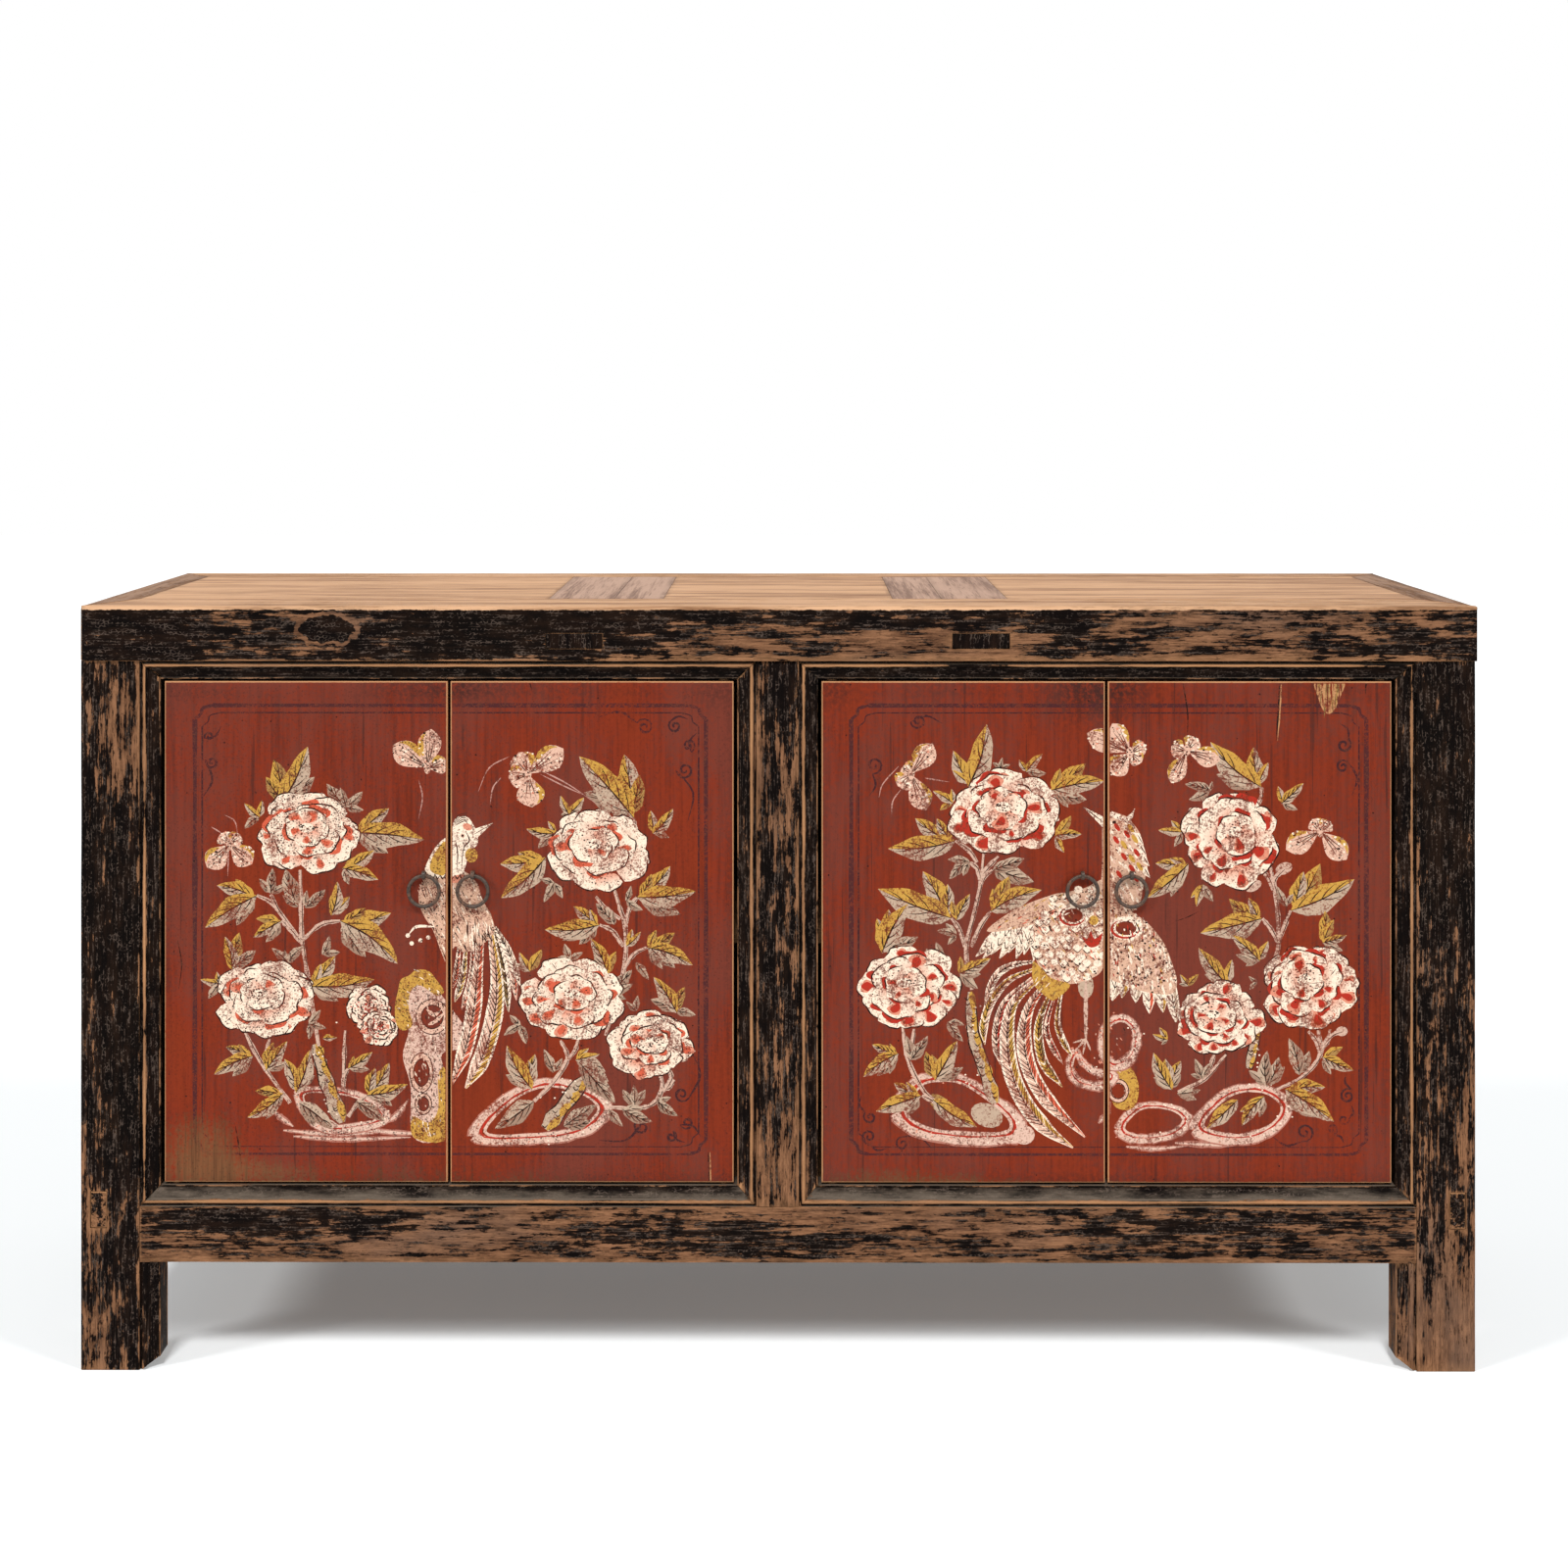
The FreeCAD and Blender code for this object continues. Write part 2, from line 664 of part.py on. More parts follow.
def make_lower_front_rail():
    name = "lower_front_rail"
    profile = moulding(lambda edge, depth: (front + depth, rail_top - edge), CLOCKWISE)
    outline = [(front, s.foot_height), *profile, (rail_back, rail_top), (rail_back, s.foot_height)]
    bar = extruded(name + "_bar", "YZ_Plane", outline, -flat_side, flat_side)
    stile_lap = [
        (-half_stile, rail_top),
        (-half_stile + s.moulding_width, flat_top),
        (half_stile - s.moulding_width, flat_top),
        (half_stile, rail_top),
    ]
    trims = [extruded(name + "_stile_lap", "XZ_Plane", stile_lap, front, lap_back)]
    tenons = []
    holes = [
        stile_foot_tenon(name + "_stile_mortise"),
        cross_rail_tenon(name + "_cross_mortise", (rail_back - s.tenon_length, rail_back)),
        board(
            name + "_floor_groove",
            (-opening_side, opening_side),
            (rail_back - s.groove_depth, rail_back),
            (floor_under, floor_top),
        ),
    ]
    for side in (LEFT, RIGHT):
        tag = name + "_" + SIDE_NAMES[side]
        end = mirrored(side, opening_side, flat_side)
        trims.append(board(tag + "_shoulder", end, (lap_back, rail_back), (s.foot_height, rail_top)))
        mitre = [(opening_side, rail_top), (flat_side, flat_top), (flat_side, rail_top)]
        trims.append(extruded(tag + "_mitre", "XZ_Plane", mirror_outline(side, mitre), front, lap_back))
        tenons.append(lower_front_tenon(tag + "_tenon", side))
        for hinge in (LEFT, RIGHT):
            low = rail_top - s.pivot_seat - s.pivot_end_gap
            holes.append(pivot_hole(tag + "_pivot_" + SIDE_NAMES[hinge], side, hinge, low))
    trimmed = cut(name + "_trimmed", bar, trims)
    node(cut(name, join(name + "_tenoned", [trimmed, *tenons]), holes), name)


def make_side(side):
    """The two rails and the floating panel of one side."""
    word = SIDE_NAMES[side]
    across = mirrored(side, side_inner, side_outer)
    along = (leg_back, back_leg_front)
    groove_across = mirrored(side, *side_panel_span())

    name = "side_upper_rail_" + word
    bar = board(name + "_bar", across, along, (upper_rail_foot, case_top))
    tenon = upper_side_tenon(name + "_tenon", side, (leg_back - s.tenon_length, back_leg_front + s.tenon_length))
    groove = board(name + "_groove", groove_across, along, (upper_rail_foot, upper_rail_foot + s.groove_depth))
    node(cut(name, join(name + "_tenoned", [bar, tenon]), [groove]), name)

    name = "side_lower_rail_" + word
    bar = board(name + "_bar", across, along, (s.foot_height, rail_top))
    tenon = lower_side_tenon(name + "_tenon", side, (front, back))
    groove = board(name + "_groove", groove_across, along, (rail_top - s.groove_depth, rail_top))
    node(cut(name, join(name + "_tenoned", [bar, tenon]), [groove]), name)

    reach = s.groove_depth - s.panel_play
    name = "side_panel_" + word
    # The panel's corners are notched round the ends of the grooves in the legs.
    tall = board(name + "_tall", groove_across, along, (rail_top - reach, upper_rail_foot + reach))
    wide_along = (leg_back - reach, back_leg_front + reach)
    wide = board(name + "_wide", groove_across, wide_along, (rail_top, upper_rail_foot))
    node(join(name, [tall, wide]), name)


def make_back():
    along = (back_inner, back_outer)
    groove_along = (back_middle - half_panel, back_middle + half_panel)
    tenon_along = (back_middle - half_tenon, back_middle + half_tenon)
    half_back_stile = s.back_stile_width / 2
    half_stile_tenon = half_back_stile - s.tenon_shoulder
    full = (-back_leg_side, back_leg_side)
    reach = s.groove_depth - s.panel_play

    def stile_tenon(name, upright):
        return board(name, (-half_stile_tenon, half_stile_tenon), tenon_along, upright)

    rails = (
        ("back_upper_rail", (upper_rail_foot, case_top), upper_back_tenon_span(),
         (upper_rail_foot, upper_rail_foot + s.groove_depth),
         (upper_rail_foot, upper_rail_foot + s.tenon_length)),
        ("back_lower_rail", (s.foot_height, rail_top), lower_back_tenon_span(),
         (rail_top - s.groove_depth, rail_top),
         (rail_top - s.tenon_length, rail_top)),
    )
    for name, upright, tenon_upright, groove_upright, mortise_upright in rails:
        pieces = [board(name + "_bar", full, along, upright)]
        for side in (LEFT, RIGHT):
            pieces.append(back_rail_tenon(name + "_tenon_" + SIDE_NAMES[side], side, tenon_upright))
        cuts = [
            board(name + "_groove", full, groove_along, groove_upright),
            stile_tenon(name + "_mortise", mortise_upright),
        ]
        if name == "back_lower_rail":
            floor_along = (back_inner, back_inner + s.groove_depth)
            cuts.append(board(name + "_floor_groove", full, floor_along, (floor_under, floor_top)))
            cross_along = (back_inner, back_inner + s.tenon_length)
            cuts.append(cross_rail_tenon(name + "_cross_mortise", cross_along))
        node(cut(name, join(name + "_tenoned", pieces), cuts), name)

    name = "back_stile"
    bar = board(name + "_bar", (-half_back_stile, half_back_stile), along, (rail_top, upper_rail_foot))
    tenon = stile_tenon(name + "_tenon", (rail_top - s.tenon_length, upper_rail_foot + s.tenon_length))
    cuts = []
    for side in (LEFT, RIGHT):
        across = mirrored(side, half_back_stile - s.groove_depth, half_back_stile)
        cuts.append(board(name + "_groove_" + SIDE_NAMES[side], across, groove_along, (rail_top, upper_rail_foot)))
    node(cut(name, join(name + "_tenoned", [bar, tenon]), cuts), name)

    for side in (LEFT, RIGHT):
        name = "back_panel_" + SIDE_NAMES[side]
        tall_across = mirrored(side, half_back_stile, back_leg_side)
        tall = board(name + "_tall", tall_across, groove_along, (rail_top - reach, upper_rail_foot + reach))
        wide_across = mirrored(side, half_back_stile - reach, back_leg_side + reach)
        wide = board(name + "_wide", wide_across, groove_along, (rail_top, upper_rail_foot))
        node(join(name, [tall, wide]), name)


def make_floor():
    name = "lower_cross_rail"
    upright = (floor_under - s.cross_rail_height, floor_under)
    bar = board(name + "_bar", (-half_cross, half_cross), (rail_back, back_inner), upright)
    tenon = cross_rail_tenon(name + "_tenon", (rail_back - s.tenon_length, back_inner + s.tenon_length))
    node(join(name, [bar, tenon]), name)

    reach = s.groove_depth - s.panel_play
    for side in (LEFT, RIGHT):
        name = "floor_board_" + SIDE_NAMES[side]
        across = mirrored(side, s.panel_play, side_inner)
        sheet_board = board(name + "_sheet", across, (rail_back - reach, back_inner + reach), (floor_under, floor_top))
        front_notch = board(
            name + "_front_notch",
            mirrored(side, opening_side - s.panel_play, side_outer),
            (front, leg_back + s.panel_play),
            (floor_under, floor_top),
        )
        back_notch = board(
            name + "_back_notch",
            mirrored(side, back_leg_side - s.panel_play, side_outer),
            (back_leg_front - s.panel_play, back),
            (floor_under, floor_top),
        )
        node(cut(name, sheet_board, [front_notch, back_notch]), name)


def make_partition():
    name = "partition"
    across = (-half_partition, half_partition)
    lower = board(name + "_lower", across, (rail_back, back_inner), (floor_top, case_top))
    # Its upper edge rises between the top's rails to the underside of the middle panel.
    upper = board(
        name + "_upper",
        across,
        (field_front + s.panel_play, field_back - s.panel_play),
        (case_top, panel_under),
    )
    node(join(name, [lower, upper]), name)


def make_shelves():
    for side in (LEFT, RIGHT):
        word = SIDE_NAMES[side]
        shelf_across = mirrored(side, half_partition, side_middle - half_panel)
        shelf_along = (batten_back + s.shelf_gap, back_leg_front - s.shelf_gap)
        node(board("shelf_" + word, shelf_across, shelf_along, (shelf_under, shelf_top)), "shelf_" + word)
        name = "shelf_bearers_" + word
        inner_across = mirrored(side, half_partition, half_partition + s.bearer_size)
        inner = board(
            name + "_inner",
            inner_across,
            (rail_back, back_inner),
            (shelf_under - s.bearer_size, shelf_under),
        )
        node(group(name, [outer_bearer(name + "_outer", side), inner]), name)


def make_stops():
    """A block under each upper rail, behind the edges where the two doors meet."""
    blocks = []
    for side in (LEFT, RIGHT):
        meeting = side * (opening_side + half_stile) / 2
        across = (meeting - s.stop_length / 2, meeting + s.stop_length / 2)
        along = (door_back + s.stop_gap, door_back + s.stop_gap + s.stop_thickness)
        blocks.append(board("stop_" + SIDE_NAMES[side], across, along, (opening_top - s.stop_height, opening_top)))
    node(group("door_stops", blocks), "door_stops")


def cross_tenon(name, side, along):
    """A tenon of a wide cross board: it shows on the front edge of the top."""
    across = mirrored(side, narrow_side + s.cross_tenon_inset, cross_side - s.cross_tenon_inset)
    foot = case_top + s.cross_board_lift + s.tenon_shoulder
    return board(name, across, along, (foot, foot + s.cross_tenon_height))


def corner_tenon(name, side, along):
    """A tenon of an end rail that crosses the mitre into the front or back rail."""
    across = mirrored(side, field_side, field_side + s.corner_tenon_width)
    foot = case_top + s.tenon_length + s.tenon_shoulder
    return board(name, across, along, (foot, foot + s.corner_tenon_thickness))


def front_corner_tenon(name, side):
    return corner_tenon(name, side, (top_front + s.top_front_width / 3, field_front))


def back_corner_tenon(name, side):
    return corner_tenon(name, side, (field_back, top_back - s.top_back_width / 3))


def mitre_waste(name, side, outline):
    return extruded(name, "XY_Plane", mirror_outline(side, outline), case_top, top_face)


def make_top_long_rails():
    groove_upright = (tongue_under, tongue_top)
    groove_across = (-(field_side + s.groove_depth), field_side + s.groove_depth)
    rails = (
        ("top_front_rail", top_front, field_front, 1, CLOCKWISE, (field_front - s.groove_depth, field_front)),
        ("top_back_rail", top_back, field_back, -1, COUNTERCLOCKWISE, (field_back, field_back + s.groove_depth)),
    )
    for name, outer, inner, inward, turn, groove_along in rails:
        rounded = outer + inward * s.top_round
        outline = [
            (outer, case_top),
            (outer, top_face - s.top_round),
            Arc((rounded, top_face - s.top_round), turn),
            (rounded, top_face),
            (inner, top_face),
            (inner, case_top),
        ]
        bar = extruded(name + "_bar", "YZ_Plane", outline, -top_side, top_side)
        cuts = [board(name + "_groove", groove_across, groove_along, groove_upright)]
        for side in (LEFT, RIGHT):
            tag = name + "_" + SIDE_NAMES[side]
            waste = [(top_side, outer), (top_side, inner), (field_side, inner)]
            cuts.append(mitre_waste(tag + "_mitre", side, waste))
            if name == "top_front_rail":
                cuts.append(front_corner_tenon(tag + "_corner_mortise", side))
                cuts.append(cross_tenon(tag + "_cross_mortise", side, (top_front, field_front)))
                cuts.append(front_leg_head(tag + "_leg_mortise", side))
            else:
                cuts.append(back_corner_tenon(tag + "_corner_mortise", side))
                cuts.append(cross_tenon(tag + "_cross_mortise", side, (field_back, field_back + s.tenon_length)))
                cuts.append(back_leg_head(tag + "_leg_mortise", side))
        if name == "top_front_rail":
            cuts.append(stile_head(name + "_stile_mortise"))
        node(cut(name, bar, cuts), name)


def make_top_end_rail(side):
    name = "top_end_rail_" + SIDE_NAMES[side]
    rounded = top_side - s.top_round
    outline = [
        (top_side, case_top),
        (top_side, top_face - s.top_round),
        Arc((rounded, top_face - s.top_round), COUNTERCLOCKWISE),
        (rounded, top_face),
        (field_side, top_face),
        (field_side, case_top),
    ]
    bar = extruded(name + "_bar", "XZ_Plane", mirror_outline(side, outline), top_front, top_back)
    front_waste = [(top_side, top_front), (field_side, field_front), (field_side, top_front)]
    back_waste = [(top_side, top_back), (field_side, field_back), (field_side, top_back)]
    trimmed = cut(name + "_trimmed", bar, [
        mitre_waste(name + "_front_mitre", side, front_waste),
        mitre_waste(name + "_back_mitre", side, back_waste),
    ])
    solid = join(name + "_tenoned", [
        trimmed,
        front_corner_tenon(name + "_front_tenon", side),
        back_corner_tenon(name + "_back_tenon", side),
    ])
    groove = board(
        name + "_groove",
        mirrored(side, field_side, field_side + s.groove_depth),
        (field_front - s.groove_depth, field_back + s.groove_depth),
        (tongue_under, tongue_top),
    )
    node(cut(name, solid, [groove]), name)


def make_top_field(side):
    """The wide cross board, the narrow board and the outer panel on one half of the top."""
    word = SIDE_NAMES[side]
    along = (field_front, field_back)
    reach = s.groove_depth - s.panel_play
    tongue_along = (field_front - reach, field_back + reach)
    tongue_upright = (tongue_under, tongue_top)
    panel_upright = (panel_under, top_face)

    name = "top_cross_board_" + word
    across = mirrored(side, narrow_side, cross_side)
    bar = board(name + "_bar", across, along, (case_top + s.cross_board_lift, top_face))
    tenon = cross_tenon(name + "_tenon", side, (top_front, field_back + s.tenon_length))
    inner_groove = mirrored(side, narrow_side, narrow_side + s.groove_depth)
    outer_groove = mirrored(side, cross_side - s.groove_depth, cross_side)
    node(cut(name, join(name + "_tenoned", [bar, tenon]), [
        board(name + "_inner_groove", inner_groove, along, tongue_upright),
        board(name + "_outer_groove", outer_groove, along, tongue_upright),
    ]), name)

    name = "top_narrow_board_" + word
    flat = board(name + "_flat", mirrored(side, half_centre, narrow_side), along, panel_upright)
    ends = board(name + "_ends", mirrored(side, half_centre, narrow_side), tongue_along, tongue_upright)
    edge = board(name + "_edge", mirrored(side, narrow_side, narrow_side + reach), along, tongue_upright)
    groove = board(
        name + "_groove",
        mirrored(side, half_centre, half_centre + s.groove_depth),
        (field_front - s.groove_depth, field_back + s.groove_depth),
        tongue_upright,
    )
    node(cut(name, join(name + "_tongued", [flat, ends, edge]), [groove]), name)

    name = "top_panel_" + word
    flat = board(name + "_flat", mirrored(side, cross_side, field_side), along, panel_upright)
    ends = board(name + "_ends", mirrored(side, cross_side, field_side), tongue_along, tongue_upright)
    edges = board(name + "_edges", mirrored(side, cross_side - reach, field_side + reach), along, tongue_upright)
    node(join(name, [flat, ends, edges]), name)


def make_top_centre():
    name = "top_panel_centre"
    reach = s.groove_depth - s.panel_play
    along = (field_front, field_back)
    tongue_along = (field_front - reach, field_back + reach)
    across = (-half_centre, half_centre)
    tongue_across = (-(half_centre + reach), half_centre + reach)
    flat = board(name + "_flat", across, along, (panel_under, top_face))
    ends = board(name + "_ends", across, tongue_along, (tongue_under, tongue_top))
    edges = board(name + "_edges", tongue_across, along, (tongue_under, tongue_top))
    node(join(name, [flat, ends, edges]), name)


def batten_pair(name, across):
    """The two battens across the back of a door, let into its boards."""
    along = (batten_front, batten_back)
    low = door_foot + s.batten_offset
    high = door_head - s.batten_offset
    return [
        board(name + "_lower", across, along, (low, low + s.batten_width)),
        board(name + "_upper", across, along, (high - s.batten_width, high)),
    ]


def pivot_pair(name, side, hinge):
    place = pivot_place(side, hinge)
    length = s.pivot_seat + s.head_gap + s.pivot_root
    return [
        rod(name + "_lower", s.pivot_radius, (place, pivot_depth, rail_top - s.pivot_seat), length),
        rod(name + "_upper", s.pivot_radius, (place, pivot_depth, door_head - s.pivot_root), length),
    ]


def edge_board(name, edge, inner, inward):
    """An outer board of a door, its front corner rounded."""
    rounded = edge + inward * s.door_arris
    turn = CLOCKWISE if inward == 1 else COUNTERCLOCKWISE
    outline = [
        (edge, door_back),
        (edge, door_front + s.door_arris),
        Arc((rounded, door_front + s.door_arris), -turn),
        (rounded, door_front),
        (inner, door_front),
        (inner, door_back),
    ]
    return extruded(name, "XY_Plane", outline, door_foot, door_head)


def pull_eye_place():
    """The eye's axis: its strap just touches the door."""
    return door_front - s.eye_bore_radius - s.strap_thickness, eye_height


def strap_shank(name, place, far):
    """The doubled strap from the eye back to a given depth."""
    eye_depth, height = pull_eye_place()
    across = (place - s.strap_width / 2, place + s.strap_width / 2)
    root = eye_depth + s.eye_bore_radius + s.strap_thickness / 2
    upright = (height - s.strap_thickness, height + s.strap_thickness)
    return board(name, across, (root, far), upright)


def make_pull(prefix, place):
    eye_depth, height = pull_eye_place()
    name = prefix + "_strap_eye"
    start = (place - s.strap_width / 2, eye_depth, height)
    along_x = (1, 0, 0)
    outer = rod(name + "_outer", s.eye_bore_radius + s.strap_thickness, start, s.strap_width, along_x)
    shank = strap_shank(name + "_shank", place, door_back + s.strap_thickness)
    tails = board(
        name + "_tails",
        (place - s.strap_width / 2, place + s.strap_width / 2),
        (door_back, door_back + s.strap_thickness),
        (height - s.tail_length, height + s.tail_length),
    )
    bore = rod(name + "_bore", s.eye_bore_radius, start, s.strap_width, along_x)
    node(cut(name, join(name + "_strap", [outer, shank, tails]), [bore]), name)

    ring = doc.addObject("Part::Torus", prefix + "_ring")
    upright = FreeCAD.Rotation(FreeCAD.Vector(1, 0, 0), 90)
    ring.Placement = FreeCAD.Placement(FreeCAD.Vector(), upright)
    ring.setExpression("Radius1", s.ring_radius.text)
    ring.setExpression("Radius2", s.ring_wire_radius.text)
    hang = s.eye_bore_radius - s.ring_wire_radius - s.ring_play
    centre = (place, eye_depth, height - hang - s.ring_radius)
    for axis, length in zip("xyz", centre):
        ring.setExpression("Placement.Base." + axis, as_size(length).text)
    node(ring, prefix + "_ring")


def make_door(prefix, side, hinge):
    """A plank door with its battens, pivots and pull."""
    inward = -hinge
    meeting_line = side * (opening_side + half_stile) / 2
    outer = hinge == side
    hinge_edge = side * opening_side if outer else side * half_stile
    hinge_edge = hinge_edge + inward * s.hinge_gap
    meeting_edge = meeting_line - inward * s.meeting_gap / 2
    hinge_joint = hinge_edge + inward * s.edge_board_width
    meeting_joint = meeting_edge - inward * s.edge_board_width
    pull_place = meeting_edge - inward * s.pull_inset

    name = prefix + "_door_boards"
    batten_ends = [hinge_edge + inward * s.batten_inset, meeting_edge - inward * s.batten_inset]
    batten_across = tuple(batten_ends if inward == 1 else reversed(batten_ends))
    middle_ends = [hinge_joint, meeting_joint]
    middle_across = tuple(middle_ends if inward == 1 else reversed(middle_ends))
    hinge_board = cut(name + "_hinge", edge_board(name + "_hinge_blank", hinge_edge, hinge_joint, inward), [
        *batten_pair(name + "_hinge_housing", batten_across),
        *pivot_pair(name + "_hinge_socket", side, hinge),
    ])
    middle_blank = board(name + "_middle_blank", middle_across, (door_front, door_back), (door_foot, door_head))
    middle_board = cut(name + "_middle", middle_blank, batten_pair(name + "_middle_housing", batten_across))
    meeting_blank = edge_board(name + "_meeting_blank", meeting_edge, meeting_joint, -inward)
    meeting_board = cut(name + "_meeting", meeting_blank, [
        *batten_pair(name + "_meeting_housing", batten_across),
        strap_shank(name + "_slot", pull_place, door_back),
    ])
    node(group(name, [hinge_board, middle_board, meeting_board]), name)

    name = prefix + "_door_battens"
    node(group(name, batten_pair(name, batten_across)), name)
    name = prefix + "_door_pivots"
    node(group(name, pivot_pair(name, side, hinge)), name)
    make_pull(prefix, pull_place)


for case_side in (LEFT, RIGHT):
    make_front_leg(case_side)
    make_back_leg(case_side)
    make_upper_rail(case_side)
    make_side(case_side)
    make_top_end_rail(case_side)
    make_top_field(case_side)
make_centre_stile()
make_lower_front_rail()
make_back()
make_floor()
make_partition()
make_shelves()
make_stops()
make_top_long_rails()
make_top_centre()
make_door("left_outer", LEFT, LEFT)
make_door("left_inner", LEFT, RIGHT)
make_door("right_inner", RIGHT, LEFT)
make_door("right_outer", RIGHT, RIGHT)

doc.recompute()
for item in doc.Objects:
    if "Invalid" in item.State or "Error" in item.State:
        raise RuntimeError("%s failed to build" % item.Label)
for piece in nodes:
    if piece.Shape.isNull() or not piece.Shape.isValid() or not piece.Shape.Solids:
        raise RuntimeError("%s has no valid solid" % piece.Label)

os.makedirs("parts", exist_ok=True)
for piece in nodes:
    piece.Shape.exportStep("parts/%s.step" % piece.Label)
print("%d nodes, %d solids" % (len(nodes), sum(len(piece.Shape.Solids) for piece in nodes)))
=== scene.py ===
"""The looks of a Chinese sideboard: a worn black lacquer frame, painted red doors and a bare top."""

import json
import math

import bmesh
import bpy
import numpy as np
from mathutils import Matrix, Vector
from mathutils import noise as field
from mathutils.geometry import delaunay_2d_cdt

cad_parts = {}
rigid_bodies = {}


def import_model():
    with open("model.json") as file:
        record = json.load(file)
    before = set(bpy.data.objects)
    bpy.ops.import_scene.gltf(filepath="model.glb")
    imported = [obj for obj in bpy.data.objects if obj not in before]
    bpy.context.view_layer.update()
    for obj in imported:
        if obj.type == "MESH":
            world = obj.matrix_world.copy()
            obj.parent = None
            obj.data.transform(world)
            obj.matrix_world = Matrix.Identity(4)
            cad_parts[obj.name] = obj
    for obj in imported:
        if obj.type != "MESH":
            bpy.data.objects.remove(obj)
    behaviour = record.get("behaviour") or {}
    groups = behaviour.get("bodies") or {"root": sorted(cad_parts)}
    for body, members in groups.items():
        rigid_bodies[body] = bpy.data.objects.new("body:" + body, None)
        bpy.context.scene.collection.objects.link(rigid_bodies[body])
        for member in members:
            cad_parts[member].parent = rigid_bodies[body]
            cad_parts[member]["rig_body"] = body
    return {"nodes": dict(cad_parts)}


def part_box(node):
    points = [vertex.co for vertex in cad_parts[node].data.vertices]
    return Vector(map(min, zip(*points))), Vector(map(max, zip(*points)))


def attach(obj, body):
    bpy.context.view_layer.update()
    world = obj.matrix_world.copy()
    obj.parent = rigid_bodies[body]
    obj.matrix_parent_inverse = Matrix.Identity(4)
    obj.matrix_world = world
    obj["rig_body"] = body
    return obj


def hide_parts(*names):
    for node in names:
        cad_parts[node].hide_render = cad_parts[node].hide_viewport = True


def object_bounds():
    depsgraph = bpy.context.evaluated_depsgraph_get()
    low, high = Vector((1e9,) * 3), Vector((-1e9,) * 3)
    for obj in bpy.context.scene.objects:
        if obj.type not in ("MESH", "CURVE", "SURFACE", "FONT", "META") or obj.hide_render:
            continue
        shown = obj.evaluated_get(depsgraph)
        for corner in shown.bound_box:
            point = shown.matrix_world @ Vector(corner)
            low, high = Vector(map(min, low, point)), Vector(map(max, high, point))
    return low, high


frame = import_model()
CAD_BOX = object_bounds()
NODES = frame["nodes"]
MM = 0.001
X, Y, Z = 0, 1, 2
AXIS_LETTERS = "xyz"


# Colours

def screen(red, green, blue):
    """A colour as a screen shows it, from 0 to 255, in the linear values that shaders take."""
    shares = (red / 255, green / 255, blue / 255)
    return tuple(((s + 0.055) / 1.055) ** 2.4 if s > 0.04045 else s / 12.92 for s in shares) + (1.0,)


# Shader nodes

class Flow:
    """An output socket. Python's operators on it add Math nodes."""

    def __init__(self, nodes, socket):
        self.nodes = nodes
        self.socket = socket

    def maths(self, operation, first, second):
        return self.nodes.node("Math", {"operation": operation}, {0: first, 1: second})

    def __add__(self, other):
        return self.maths("ADD", self, other)

    def __radd__(self, other):
        return self.maths("ADD", other, self)

    def __sub__(self, other):
        return self.maths("SUBTRACT", self, other)

    def __rsub__(self, other):
        return self.maths("SUBTRACT", other, self)

    def __mul__(self, other):
        return self.maths("MULTIPLY", self, other)


MIX_SHARE, MIX_FIRST_COLOUR, MIX_SECOND_COLOUR = 0, 6, 7
MIX_COLOUR_OUT = 2


